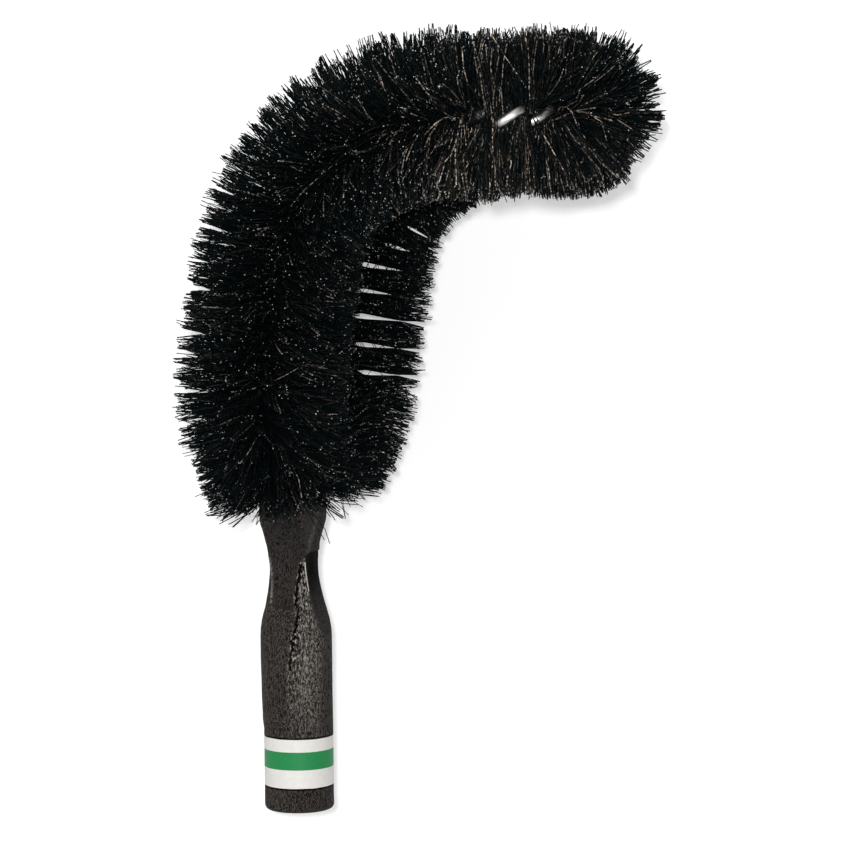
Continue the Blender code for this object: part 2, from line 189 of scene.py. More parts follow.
def twist_at(distance):
    """How far the wires have turned at a distance along the loop."""
    away = distance - HALF_LENGTH
    tip = min(abs(away), TIP_QUARTER)
    change = min(max(abs(away) - TIP_QUARTER, 0), PITCH_CHANGE_LENGTH)
    leg = max(abs(away) - TIP_QUARTER - PITCH_CHANGE_LENGTH, 0)
    faster = (1 / LEG_PITCH - 1 / TIP_PITCH) / PITCH_CHANGE_LENGTH
    turns = (tip + change) / TIP_PITCH + faster * change * change / 2 + leg / LEG_PITCH
    return TIP_PHASE - math.copysign(2 * math.pi * turns, away)


print("turns in the whole loop:", round((twist_at(0) - twist_at(2 * HALF_LENGTH)) / (2 * math.pi), 2))

# %% [markdown]
# ## Stations on the wire
#
# Nearly forty thousand fibres would ask for the centreline one by one. It is quicker to work it out
# once, every tenth of a millimetre, and keep it as rows of an array. NumPy then reads any number of
# places between the rows at one go. A station is a point and three directions: the tangent along the
# wire, the normal out of the hook's back, and the level direction, which points out of the loop.

# %% Work out the stations
STATION_STEP = 0.0001


def station(distance):
    """One row: point, tangent, normal, level, bend and twist."""
    side = -1 if distance < HALF_LENGTH else 1
    reach = HALF_LENGTH - abs(distance - HALF_LENGTH)
    along, width, heading, curvature = follow(HALF_LOOP, reach)
    if along < 0:
        height, hooked, lean = HANDLE_TOP + along, 0, 0
    else:
        height, hooked, lean, _ = follow(HOOK, along)
    up = np.array((math.sin(lean), 0, math.cos(lean)))
    out = np.array((0, side, 0))
    tangent = -side * (math.cos(heading) * up + math.sin(heading) * out)
    normal = np.array((-math.cos(lean), 0, math.sin(lean)))
    bend = curvature * (math.cos(heading) * out - math.sin(heading) * up)
    point = (hooked, side * width, height)
    return *point, *tangent, *normal, *np.cross(tangent, normal), *bend, twist_at(distance)


STATIONS = np.array([station(STATION_STEP * i) for i in range(int(2 * HALF_LENGTH / STATION_STEP) + 1)])


class Spots:
    """Places on the centreline at an array of distances."""

    def __init__(self, distances):
        place = np.clip(np.asarray(distances) / STATION_STEP, 0, len(STATIONS) - 1.001)
        row = place.astype(int)
        share = (place - row)[..., None]
        read = STATIONS[row] * (1 - share) + STATIONS[row + 1] * share
        parts = [read[..., i : i + 3] for i in range(0, 15, 3)]
        self.point, self.tangent, self.normal, self.level, self.bend = parts
        self.twist = read[..., 15]

    def ray(self, angle=0.0, twist=None):
        """The direction across the wire at an angle from the fibres, or at a given twist."""
        turn = (self.twist if twist is None else twist) + angle
        return np.cos(turn)[..., None] * self.normal + np.sin(turn)[..., None] * self.level


print("stations:", STATIONS.shape)

# %% [markdown]
# ## One helper for every round strand
#
# A wire and a fibre are the same form: a thin tube along a line. A curve object with a bevel would do
# for one wire, but thousands of curves are slow to make, and tubes made straight from arrays take a
# moment. The helper makes any number of closed tubes in one mesh, ring by ring, with a lid on each end.


# %% Make many tubes at once
def tube_faces(tubes, rings, sides):
    """Corner numbers of the walls and of the lids, for corners in order of tube, ring and side."""
    number = np.arange(tubes * rings * sides).reshape(tubes, rings, sides)
    beside = np.roll(number, -1, axis=2)
    walls = np.stack((number[:, :-1], beside[:, :-1], beside[:, 1:], number[:, 1:]), axis=-1)
    return walls.reshape(-1, 4), number[:, 0, ::-1], number[:, -1]


def make_mesh(name, corners, *groups):
    """A piece from corners and from groups of faces, where each group's faces have as many corners."""
    mesh = bpy.data.meshes.new(name)
    mesh.vertices.add(len(corners))
    mesh.vertices.foreach_set("co", np.asarray(corners, np.float32).ravel())
    loops = np.concatenate([group.ravel() for group in groups])
    sizes = np.concatenate([np.full(len(group), group.shape[1]) for group in groups])
    mesh.loops.add(len(loops))
    mesh.loops.foreach_set("vertex_index", loops.astype(np.int32))
    mesh.polygons.add(len(sizes))
    mesh.polygons.foreach_set("loop_start", (np.cumsum(sizes) - sizes).astype(np.int32))
    mesh.update(calc_edges=True)
    mesh.shade_smooth()
    piece = bpy.data.objects.new(name, mesh)
    bpy.context.scene.collection.objects.link(piece)
    return piece


def tube_corners(centres, across, beside, radii, sides, start_angle=0.0):
    """Corners of the rings round lines of centres, of shape (tubes, rings, 3)."""
    turn = start_angle + 2 * math.pi * np.arange(sides) / sides
    ring = np.cos(turn)[..., None] * across[..., None, :] + np.sin(turn)[..., None] * beside[..., None, :]
    return (centres[..., None, :] + radii[..., None, None] * ring).reshape(-1, 3)


def write_values(piece, name, domain, values):
    """Keeps one number for each point or face of a piece, for its material to read."""
    kept = piece.data.attributes.new(name, "FLOAT", domain)
    kept.data.foreach_set("value", values.astype(np.float32).ravel())


print("helpers ready")

# %% [markdown]
# ## Helpers for materials
#
# A material here is a small net of nodes that ends in one Principled shader, and the light of the room
# is a net too. The helpers keep the nets short. Two of them add a node and join it to others, and the
# rest make the few kinds of node that most materials need.


# %% Nets of nodes
class Net:
    """A net of nodes, and short ways to add to it."""

    def __init__(self, tree):
        self.tree = tree
        self.nodes = tree.nodes

    def join(self, value, socket):
        """Gives a socket the output of another node, a number or a colour."""
        if isinstance(value, bpy.types.NodeSocket):
            self.tree.links.new(value, socket)
        else:
            socket.default_value = value

    def set(self, node, settings):
        for name, value in settings.items():
            self.join(value, node.inputs[name])

    def node(self, kind, inputs=None, **options):
        made = self.nodes.new(f"ShaderNode{kind}")
        for name, value in options.items():
            setattr(made, name, value)
        self.set(made, inputs or {})
        return made

    def value(self, name):
        """A number that the mesh carries."""
        return self.node("Attribute", attribute_name=name).outputs["Fac"]

    def math(self, operation, first, second=0.0):
        return self.node("Math", {0: first, 1: second}, operation=operation).outputs["Value"]

    def spread(self, value, low, high, to_low=0.0, to_high=1.0):
        """Maps low..high to to_low..to_high, held at its ends."""
        inputs = {"Value": value, "From Min": low, "From Max": high, "To Min": to_low, "To Max": to_high}
        return self.node("MapRange", inputs).outputs["Result"]

    def blend(self, share, first, second):
        """A colour between two colours."""
        made = self.node("Mix", data_type="RGBA")
        self.join(share, made.inputs["Factor"])
        for colour, socket in zip((first, second), made.inputs[6:8]):
            self.join((*colour, 1.0) if isinstance(colour, tuple) else colour, socket)
        return made.outputs[2]

    def place(self, stretch=(1, 1, 1)):
        """Object coordinates in metres, stretched along the axes."""
        where = self.node("TexCoord").outputs["Object"]
        return self.node("Mapping", {"Vector": where, "Scale": stretch}).outputs["Vector"]

    def noise(self, vector, scale, detail=2.0, roughness=0.5, distortion=0.0):
        inputs = {"Vector": vector, "Scale": scale, "Detail": detail}
        inputs.update({"Roughness": roughness, "Distortion": distortion})
        return self.node("TexNoise", inputs).outputs["Fac"]

    def seen(self):
        """1 for rays that show a thing: from the camera, from gloss and through glass."""
        path = self.node("LightPath").outputs
        camera_or_gloss = self.math("MAXIMUM", path["Is Camera Ray"], path["Is Glossy Ray"])
        return self.math("MAXIMUM", camera_or_gloss, path["Is Transmission Ray"])


class Finish(Net):
    """The net of a material, which ends in its Principled shader."""

    def __init__(self, name):
        self.material = bpy.data.materials.new(name)
        self.material.use_nodes = True
        super().__init__(self.material.node_tree)
        self.shader = self.nodes["Principled BSDF"]

    def bump(self, height, distance, strength=1.0):
        inputs = {"Height": height, "Distance": distance, "Strength": strength}
        self.set(self.shader, {"Normal": self.node("Bump", inputs).outputs["Normal"]})

    def done(self, settings):
        """Sets the shader, and gives the material."""
        self.set(self.shader, settings)
        return self.material


print("material helpers ready")

# %% [markdown]
# ## The two wires
#
# The real wires are drawn steel with a zinc coat, 4 mm thick. Each one is a helix about the bent
# centreline. The CAD wires have eight flat sides, enough for strength and collision, but the bright
# crest that shows at the tip needs a smooth one. So each wire is made again on the same helix, with
# sixteen sides and a ring every 0.8 mm. It also carries how bare of fibres it is at each place.

# %% Make the wires
STRAND_RADIUS = 0.0020
STRAND_OFFSET = 0.00275
WIRE_SIDES = 16
WIRE_RING_STEP = 0.0008
BARE_AT = HALF_LENGTH - TIP_QUARTER + 0.0205
BARE_LENGTH = 0.016
BARE_SHIFT = 0.002


def make_wire(name, angle):
    """One wire of the pair, a quarter turn from the fibres."""
    count = int((2 * HALF_LENGTH - 2 * STRAND_RADIUS) / WIRE_RING_STEP)
    spots = Spots(np.linspace(STRAND_RADIUS, 2 * HALF_LENGTH - STRAND_RADIUS, count))
    outward = spots.ray(angle)
    centres = spots.point + STRAND_OFFSET * outward
    run = np.gradient(centres, axis=0)
    run /= np.linalg.norm(run, axis=1, keepdims=True)
    beside = np.cross(run, outward)
    beside /= np.linalg.norm(beside, axis=1, keepdims=True)
    across = np.cross(beside, run)
    radii = np.full((1, count), STRAND_RADIUS)
    corners = tube_corners(centres[None], across[None], beside[None], radii, WIRE_SIDES)
    piece = make_mesh(name, corners, *tube_faces(1, count, WIRE_SIDES))
    along = np.repeat(np.arange(count) * WIRE_RING_STEP, WIRE_SIDES)
    around = np.tile(np.arange(WIRE_SIDES) / WIRE_SIDES, count)
    write_values(piece, "wire_along", "POINT", along)
    write_values(piece, "wire_side", "POINT", np.cos(2 * math.pi * around))
    write_values(piece, "wire_other_side", "POINT", np.sin(2 * math.pi * around))
    from_bare = along + STRAND_RADIUS - BARE_AT - BARE_SHIFT
    write_values(piece, "bare", "POINT", ramp(from_bare, BARE_LENGTH, 2))
    return piece


WIRES = {"a": make_wire("twisted_wire_a", math.pi / 2), "b": make_wire("twisted_wire_b", -math.pi / 2)}
print("faces of one wire:", len(WIRES["a"].data.polygons))

# %% [markdown]
# ## Zinc on the wires
#
# A galvanised wire is pale grey and softly bright. Its coat has fine lines along the wire, left by the
# drawing and the wiping, and dull patches where the zinc has clouded. The lines follow the helix, so
# they read the numbers that each wire carries along and round itself, and not the room's axes. Only a
# short stretch at the tip is bare. Elsewhere the wire lies deep in the fibres, where it is dull and
# painted black: painted shade.

# %% Galvanised finish
ZINC_CLOUDED, ZINC_BRIGHT = (0.50, 0.49, 0.47), (0.78, 0.77, 0.75)
# the black of the wire under the fibres is painted shade
ZINC_LINE, BURIED_WIRE_SHADE = (0.22, 0.21, 0.20), (0.010, 0.011, 0.012)


def galvanised_zinc():
    zinc = Finish("galvanised_zinc")
    along, bare = zinc.value("wire_along"), zinc.value("bare")
    inputs = {"X": zinc.value("wire_side"), "Y": zinc.value("wire_other_side"), "Z": along}
    round_wire = zinc.node("CombineXYZ", inputs).outputs["Vector"]
    lined = zinc.node("Mapping", {"Vector": round_wire, "Scale": (1, 1, 40)}).outputs["Vector"]
    lines = zinc.noise(lined, 9.0, 3.0)
    cloud = zinc.noise(zinc.place(), 260.0, 3.0)
    pale = zinc.blend(zinc.spread(cloud, 0.35, 0.7), ZINC_CLOUDED, ZINC_BRIGHT)
    zinc_colour = zinc.blend(zinc.spread(lines, 0.5, 0.72, 0, 0.45), pale, ZINC_LINE)
    # where fibres cover the wire it is painted black: painted shade
    colour = zinc.blend(bare, BURIED_WIRE_SHADE, zinc_colour)
    dull = zinc.spread(cloud, 0.3, 0.75, 0.24, 0.42)
    rough = zinc.math("ADD", dull, zinc.spread(lines, 0.4, 0.7, 0, 0.08))
    rough = zinc.math("MAXIMUM", rough, zinc.spread(bare, 0, 1, 0.7, 0))
    zinc.bump(lines, 0.00008, 0.7)
    return zinc.done({"Metallic": 1.0, "Base Color": colour, "Roughness": rough})


ZINC = galvanised_zinc()
for letter, wire in WIRES.items():
    wire.data.materials.append(ZINC)
    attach(wire, "root")
    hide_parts(f"spine_wire_{letter}")
print("wires finished with", ZINC.name)

# %% [markdown]
# ## The side that the photograph shows
#
# The photograph looks at the brush from its near side, a little round towards the hook, and from just
# above. These directions come before the coat, because the gaps between its tufts face the camera, and
# its right end is trimmed as the camera sees it.

# %% Directions of the photograph
SHOT_AZIMUTH = math.radians(23.744)
SHOT_ELEVATION = math.radians(5)
RIGHT = Vector((math.cos(SHOT_AZIMUTH), math.sin(SHOT_AZIMUTH), 0))
BACK = RIGHT.cross((0, 0, 1)) * math.cos(SHOT_ELEVATION) + Vector((0, 0, math.sin(SHOT_ELEVATION)))
BACK.normalize()
UP = BACK.cross(RIGHT)
TARGET_REACH = 0.057479
TARGET_HEIGHT = 0.17047
TARGET = Vector((TARGET_REACH * RIGHT.x, TARGET_REACH * RIGHT.y, TARGET_HEIGHT))
SHOT_DISTANCE = 1.6
EYE = TARGET + SHOT_DISTANCE * BACK
SEEN_RIGHT, SEEN_UP, SEEN_BACK, SEEN_MIDDLE = (np.array(vector) for vector in (RIGHT, UP, BACK, TARGET))
print("towards the camera:", [round(value, 3) for value in BACK])

# %% [markdown]
# ## How a fibre leaves the wire
#
# Between the wires the fibres are pinched into a flat row, and just outside they fan out until they
# stand all round. Further out the fibres of a clump lean one way together, each a little more or less,
# and their tips draw together into a tuft. Blender's hair could be combed like this, but only real
# meshes are kept with the part, so the strands are made as thin tubes.

# %% Sizes of the coat
BRUSH_RADIUS = 0.0367
FIBRE_RADIUS = 0.00024
FIBRE_SHARES = np.array((0, 0.07, 0.16, 0.34, 0.56, 0.78, 0.985, 1.0))
FIBRE_RINGS = len(FIBRE_SHARES)
FIBRE_SIDES = 3
FIBRES_PER_METRE = 32000
BRISTLE_START = 0.005
PINCH_RADIUS = 0.0026
FAN_HALF = math.radians(90)
WILD_SHARE, WILD_TIMES = 0.2, 3.0
CLUMP_LENGTH = 0.0028
CLUMP_ANGLE = math.radians(7)
GATHER = 0.76
# the right end is reached between these two places, and its tufts are drawn together more and thicker
END_FROM, END_TO = 0.148, 0.168
END_GATHER = 0.12
END_THICKER = 0.35
chance = np.random.default_rng(11)
print("fibres in all:", round(FIBRES_PER_METRE * 4 * (HALF_LENGTH - IN_HOLE - BRISTLE_START)))


# %% Draw numbers by clump and by fibre
def clump_numbers(distances, turn):
    """Numbers the clumps: fibres that leave the wire side by side and in nearly the same direction."""
    step = np.floor(distances / CLUMP_LENGTH + 0.7 * np.sin(3 * turn)).astype(int)
    sector = np.floor(turn % (2 * math.pi) / CLUMP_ANGLE).astype(int)
    return np.unique(step * 1000 + sector, return_inverse=True)[1]


def clump_share(clump):
    """A number from 0 to 1 for each fibre, the same for its whole clump."""
    return chance.random(clump.max() + 1)[clump]


def drawn(clump, clump_spread, fibre_spread):
    """A random number for each fibre, of which a part is the same for its whole clump."""
    shared = chance.normal(0, clump_spread, clump.max() + 1)[clump]
    return shared + chance.normal(0, fibre_spread, len(clump))


def end_share(points):
    """How far in the brush's right end points are."""
    return rise(points @ SEEN_RIGHT, END_FROM, END_TO)


def gathered(lines, clump):
    """Draws the tips of each clump together into a tuft."""
    count = np.bincount(clump)
    middle = np.stack([np.bincount(clump, lines[:, -1, i]) / count for i in range(3)], axis=1)
    pull = (GATHER + END_GATHER * end_share(lines[:, -1]))[:, None] * FIBRE_SHARES**3
    return lines + pull[..., None] * (middle[clump] - lines[:, -1])[:, None]


print("clumps of", CLUMP_LENGTH, "m by", round(math.degrees(CLUMP_ANGLE)), "degrees")

# %% [markdown]
# ## A parting
#
# On the near side of the tip the fibres are parted, and the wire shows. The fibres below it are
# pressed down, and over a longer stretch than those above it, which stand up. Each fibre has an angle
# round the wire, and near the middle of the parting the angles are squeezed away from the side that
# faces out of the loop.

# %% Part the fibres round the bare crest
PARTING_AT = BARE_AT
PARTING_FACE = math.radians(90)
CREST_OPENING = math.radians(84)
CREST_LENGTH = 0.0118
CREST_MORE_ABOVE = 1.06
OPEN_ABOVE, ABOVE_LENGTH = math.radians(8), 0.014
OPEN_BELOW, BELOW_LENGTH = math.radians(50), 0.045


def parted(turn, distances):
    """Squeezes angles round the wire away from the parting's face."""
    away = (turn - PARTING_FACE + math.pi) % (2 * math.pi) - math.pi
    window = distances - PARTING_AT
    above = OPEN_ABOVE * ramp(window, ABOVE_LENGTH, 1.6)
    below = OPEN_BELOW * ramp(window, BELOW_LENGTH, 1.6)
    opening = np.where(away < 0, above, below)
    crest = np.where(away < 0, CREST_MORE_ABOVE, 1.0) * CREST_OPENING
    opening = np.maximum(opening, crest * ramp(window, CREST_LENGTH, 2))
    squeezed = np.sign(away) * (opening + np.abs(away) * (1 - opening / math.pi))
    return PARTING_FACE + squeezed


print("parting at", round(PARTING_AT, 4), "m along the wire")

# %% [markdown]
# ## Slots between the tufts
#
# In places the tufts stand apart. On the far leg the white floor shows through seven narrow slots that
# run outwards and close before the tips, and three of them open again at the tips. The near leg has
# notches in its back, which are widest at the tips. Leaving fibres out would thin the coat there, so
# they are parted instead: a fibre near a slot lies wholly on one side of it, and its points are pushed
# away from the slot's middle by as much as the slot is open there.

# %% Open the slots
# each: distance along the wire, side of the hook (1 back, -1 inside), where it starts and ends outwards
# from the wire, and its half height at its start and at its end, in millimetres
SLOTS = (
    (448.8, -1, 14, 27, 1.1, 0.5),
    (462.6, -1, 8, 23, 1.5, 0.6),
    (475.3, -1, 1, 24, 1.6, 0.2),
    (487.0, -1, 1, 21, 1.5, 0.2),
    (498.7, -1, 1, 24, 1.9, 0.3),
    (511.6, -1, 3, 23, 1.7, 0.4),
    (524.3, -1, 6, 25, 1.8, 0.3),
    (498.7, -1, 25, 42, 0.35, 1.4),
    (511.6, -1, 25, 42, 0.3, 1.2),
    (524.3, -1, 26, 42, 0.35, 1.6),
    (146.5, 1, 24, 42, 0.1, 1.3),
    (134.4, 1, 22, 42, 0.1, 1.5),
    (122.9, 1, 28, 42, 0.1, 1.1),
    (111.8, 1, 22, 42, 0.1, 1.6),
    (93.2, 1, 25, 42, 0.1, 1.8),
    (85.0, 1, 29, 42, 0.1, 1.2),
    (70.4, 1, 22, 42, 0.1, 1.5),
    (220.6, 1, 30, 42, 0.1, 1.5),
)
SLOT_UNITS = (0.001, 1, 0.001, 0.001, 0.001, 0.001)
SLOT_NEAR = 0.02
SLOT_SPACING_HALF = 0.0062
SLOT_RAMP = 0.003


def open_slots(lines, low, high):
    """Moves fibres between two distances out of the slots."""
    for distance, side, start, end, half_start, half_end in np.array(SLOTS) * SLOT_UNITS:
        if not low - SLOT_NEAR < distance < high + SLOT_NEAR:
            continue
        spot = Spots(np.array([distance]))
        sight = EYE - Vector(spot.point[0])
        outward = np.cross(spot.tangent[0], sight)
        outward /= np.linalg.norm(outward)
        along = np.cross(sight.normalized(), outward)
        outward *= np.sign(np.dot(outward, spot.normal[0])) * side
        above = (lines - spot.point[0]) @ along
        out = (lines - spot.point[0]) @ outward
        share = (out - start) / (end - start)
        ends = rise(out, start, start + SLOT_RAMP) * rise(out, end + SLOT_RAMP, end)
        clear = ends * np.clip(half_start + (half_end - half_start) * share, 0, None)
        way = np.sign(above[:, -3:].mean(axis=1, keepdims=True))
        moved = way * (clear + np.clip(way * above, 0, None) * (1 - clear / SLOT_SPACING_HALF))
        near = (np.abs(above) < SLOT_SPACING_HALF) & (ends > 0)
        lines = lines + np.where(near, moved - above, 0)[..., None] * along
    return lines


print("slots:", len(SLOTS))

# %% [markdown]
# ## How far a fibre reaches
#
# The coat is trimmed to a cylinder before the wire is bent, so nearly all tips end near one radius, and
# one fibre in five is shorter. Use has worn it unevenly: it stands higher on the hook's back than on its
# inside, its right end is ragged, and the lower corner of that end is rubbed down. Inside the tip bend,
# and where the legs come close together over the handle, the fibres meet others and can't reach so far.

# %% Reach of the fibres
RAGGED = (0.038, 0.012)
INSIDE_FROM, INSIDE_RAGGED = -0.3, 0.55
SHORT_SHARE, SHORTEST = 0.2, 0.7
LEAST_REACH, MOST_REACH = 0.3, 1.12
BEND_REACH_SHARE = 0.92
MIDDLE_OVERLAP = 0.0015
# each: distance from the handle, and how much further than the rest the fibres reach at the hook's back
# and on its inside, as shares
STAND = np.array(
    (
        (0.030, 0.03, 0.0),
        (0.070, 0.06, 0.035),
        (0.130, 0.065, 0.035),
        (0.160, 0.085, -0.05),
        (0.225, 0.08, -0.05),
        (0.245, 0.02, -0.05),
        (0.262, 0.0, -0.05),
        (0.300, 0.0, -0.02),
    )
)
END_STAND, END_TUFTS, END_FIBRES = 0.11, 0.25, 0.06
END_LIMIT, END_LIMIT_RAGGED = 0.1100, 0.004
CORNER_FROM, CORNER_TO, CORNER_CUT, CORNER_STEEP = 0.140, 0.160, 0.18, 1.6


def ragged_share(spots, distances, clump, ray):
    """Reach of each fibre as a share of the brush's radius, before it meets any other."""
    count = len(distances)
    outward = np.sum(ray * spots.normal, axis=1)
    ragged = 1 + drawn(clump, *RAGGED) * np.where(outward < INSIDE_FROM, INSIDE_RAGGED, 1)
    short = chance.random(count) < SHORT_SHARE
    ragged = np.where(short, ragged * chance.uniform(SHORTEST, 1, count), ragged)
    from_handle = HALF_LENGTH - np.abs(distances - HALF_LENGTH)
    back, inside = (np.interp(from_handle, STAND[:, 0], STAND[:, i]) for i in (1, 2))
    ragged += np.abs(outward) * np.where(outward > 0, back, inside)
    even_tips = spots.point + BRUSH_RADIUS * ray
    tufts = END_TUFTS * np.sqrt(clump_share(clump))
    ragged += end_share(even_tips) * (END_STAND - tufts - END_FIBRES * chance.random(count))
    at_corner = rise(even_tips @ SEEN_RIGHT, CORNER_FROM, CORNER_TO)
    ragged -= CORNER_CUT * at_corner * np.clip(-CORNER_STEEP * ray @ SEEN_UP, 0, 1)
    return np.clip(ragged, LEAST_REACH, MOST_REACH)


def past_end_limit(tips, clump):
    """How far each tip would be seen past the line that the right end is worn to."""
    tips = tips - SEEN_MIDDLE
    seen_right = tips @ SEEN_RIGHT / (1 - tips @ SEEN_BACK / SHOT_DISTANCE)
    return np.clip(seen_right - END_LIMIT + END_LIMIT_RAGGED * clump_share(clump), 0, None)


def fibre_reach(spots, distances, clump, ray, slope):
    """Radius at which each fibre's tip ends."""
    reach = BRUSH_RADIUS * ragged_share(spots, distances, clump, ray)
    leaning = ray + slope[:, None] * spots.tangent
    reach -= past_end_limit(spots.point + reach[:, None] * leaning, clump)
    inward = np.sum(ray * spots.bend, axis=1)
    reach = np.minimum(reach, BEND_REACH_SHARE / np.maximum(inward, BEND_REACH_SHARE / (2 * BRUSH_RADIUS)))
    width = spots.point[:, 1]
    on_leg = np.abs(distances - HALF_LENGTH) > TIP_QUARTER
    facing = on_leg & (width * ray[:, 1] < 0)
    room = (np.abs(width) + MIDDLE_OVERLAP) / np.maximum(np.abs(ray[:, 1]), 0.05)
    return np.where(facing, np.minimum(reach, room), reach)


print("a fibre reaches", BRUSH_RADIUS, "m from the wire")

# %% [markdown]
# ## One length of coat
#
# The coat is made in the same eighteen lengths as the CAD model: seven up each leg and four round the
# tip. A fibre is a tube of three sides. Its middle line leaves the pinch, fans out, leans, bows a little
# and is slightly crimped, and its far end is cut square. Halfway out the fibres crowd back towards the
# winding row that they fanned out from, and at the far leg's foot they lean up, away from the handle.

# %% Sizes of a fibre's line
FAR_LEAN, FAR_LEAN_LENGTH = 0.18, 0.018
SLOPE_LIMIT = 0.7
CROWDING = np.array((0, 0.35, 0.5, 0.42, 0.28, 0.12, 0, 0))
CRIMP = 0.0004
# each: spread of the clumps, and of the fibres within them
TURNS = (math.radians(5), math.radians(4))
TILTS = (math.radians(4.5), math.radians(3))
BOWS = (0.03, 0.05)


# %% Draw the middle lines of the fibres
def crimp(count):
    """Small sideways waves of the fibres, none at the root."""
    waves = chance.uniform(1.0, 2.6, (count, 1))
    phase = chance.uniform(0, 2 * math.pi, (count, 1))
    height = chance.normal(0, CRIMP, (count, 1))
    wave = np.sin(2 * math.pi * waves * FIBRE_SHARES + phase)
    return height * (wave - np.sin(phase) * (1 - FIBRE_SHARES))


def fibre_lines(distances, way):
    """Middle lines of fibres, as an array of (fibre, ring, 3), their side direction, and their clumps."""
    spots = Spots(distances)
    count = len(distances)
    turn = spots.twist + np.where(way > 0, 0, math.pi)
    base = spots.ray(twist=turn)
    loose = np.where(chance.random(count) < WILD_SHARE, WILD_TIMES, 1.0)
    fan = turn + FAN_HALF * chance.uniform(-1, 1, count)
    clump = clump_numbers(distances, fan)
    leaning = fan + loose * drawn(clump, *TURNS)
    ray = spots.ray(twist=parted(leaning, distances))
    tilt = loose * drawn(clump, *TILTS)
    slope = np.tan(np.clip(tilt, -SLOPE_LIMIT, SLOPE_LIMIT))
    from_end = HALF_LENGTH - np.abs(distances - HALF_LENGTH) - IN_HOLE - BRISTLE_START
    slope -= np.where(distances > HALF_LENGTH, FAR_LEAN, 0) * ramp(from_end, FAR_LEAN_LENGTH)
    reach = fibre_reach(spots, distances, clump, ray, slope)
    radius = reach[:, None] * FIBRE_SHARES
    free = np.clip(radius - PINCH_RADIUS, 0, None)
    held = radius - free
    bow = reach[:, None] * FIBRE_SHARES**2
    beside = np.cross(spots.tangent, ray)
    sideways = drawn(clump, *BOWS)[:, None] * bow + crimp(count)
    lengthways = slope[:, None] * free + drawn(clump, *BOWS)[:, None] * bow + crimp(count)
    lengthways -= ((fan - turn) * LEG_PITCH / (2 * math.pi))[:, None] * CROWDING
    lines = spots.point[:, None] + held[..., None] * base[:, None] + free[..., None] * ray[:, None]
    lines += sideways[..., None] * beside[:, None] + lengthways[..., None] * spots.tangent[:, None]
    lines = open_slots(gathered(lines, clump), distances[0], distances[-1])
    return lines, beside, spots.tangent, clump


print("rings of a fibre:", FIBRE_RINGS, "and sides:", FIBRE_SIDES)

# %% [markdown]
# ## Tones of the fibres
#
# No two strands are equally dark, and their cut ends catch more or less light. Round the parting, and
# most of all below it, the light falls flat on the strands, so there more strands are painted light
# and brown, and more cut ends bright: painted light. Each fibre carries one number for both: eight
# shades of its strand, with four levels of its cut end within each shade. One number is enough for the
# finish, and it also gives every fibre a place on a small colour map.

# %% Tones of the strands and of the cut ends
SHADES, SPECKS = 8, 4
TONES = SHADES * SPECKS
LIT_LENGTH = 0.075
LIT_ABOVE_SHARE = 0.4
DARK_POWER, LIT_POWER = 1.15, 0.84
DULL_SPECK_POWER, LIT_SPECK_POWER = 2.4, 0.7
DARK_SHADES = 0.9
PALE_SHARE = 0.03
CLUMP_TONE = 0.3


def fibre_tones(lines, distances, clump):
    """The number from 0 to 1 that holds the shade of each strand and the brightness of its cut end."""
    fibres = len(lines)
    # lit is painted light: most round the parting and below it, it makes strands lighter and cut ends
    # brighter
    lit = ramp(distances - PARTING_AT, LIT_LENGTH, 1.5)
    speck = chance.random(fibres) ** (DULL_SPECK_POWER + (LIT_SPECK_POWER - DULL_SPECK_POWER) * lit)
    lit *= np.where(lines[:, -1, 2] < lines[:, 0, 2], 1.0, LIT_ABOVE_SHARE)
    shared = CLUMP_TONE * clump_share(clump) + (1 - CLUMP_TONE) * chance.random(fibres)
    shade = shared ** (DARK_POWER + (LIT_POWER - DARK_POWER) * lit)
    shade *= np.where(chance.random(fibres) < PALE_SHARE, 1, DARK_SHADES + (1 - DARK_SHADES) * lit)
    return (np.floor(shade * SHADES) * SPECKS + np.floor(speck * SPECKS) + 0.5) / TONES


def tone_map(piece, tone):
    """A map for later painting, with one column for each tone, so that all fibres of a tone share it."""
    fibres = len(tone)
    column = np.floor(tone * TONES)
    edge = 0.2 + 0.6 * np.arange(FIBRE_SIDES + 1) / FIBRE_SIDES
    height = 0.05 + 0.8 * FIBRE_SHARES
    wall = np.empty((fibres, FIBRE_RINGS - 1, FIBRE_SIDES, 4, 2))
    wall[..., 0, 0] = wall[..., 3, 0] = (column[:, None, None] + edge[:-1]) / TONES
    wall[..., 1, 0] = wall[..., 2, 0] = (column[:, None, None] + edge[1:]) / TONES
    wall[..., 0, 1] = wall[..., 1, 1] = height[:-1, None]
    wall[..., 2, 1] = wall[..., 3, 1] = height[1:, None]
    lid = np.empty((2, fibres, FIBRE_SIDES, 2))
    lid[..., 0] = (column[:, None] + (0.2, 0.8, 0.5)) / TONES
    lid[0, ..., 1] = (0.01, 0.01, 0.04)
    lid[1, ..., 1] = (0.9, 0.9, 0.98)
    places = np.concatenate((wall.reshape(-1, 2), lid.reshape(-1, 2))).astype(np.float32)
    piece.data.uv_layers.new(name="OFBake").data.foreach_set("uv", places.ravel())


print("tones:", TONES)


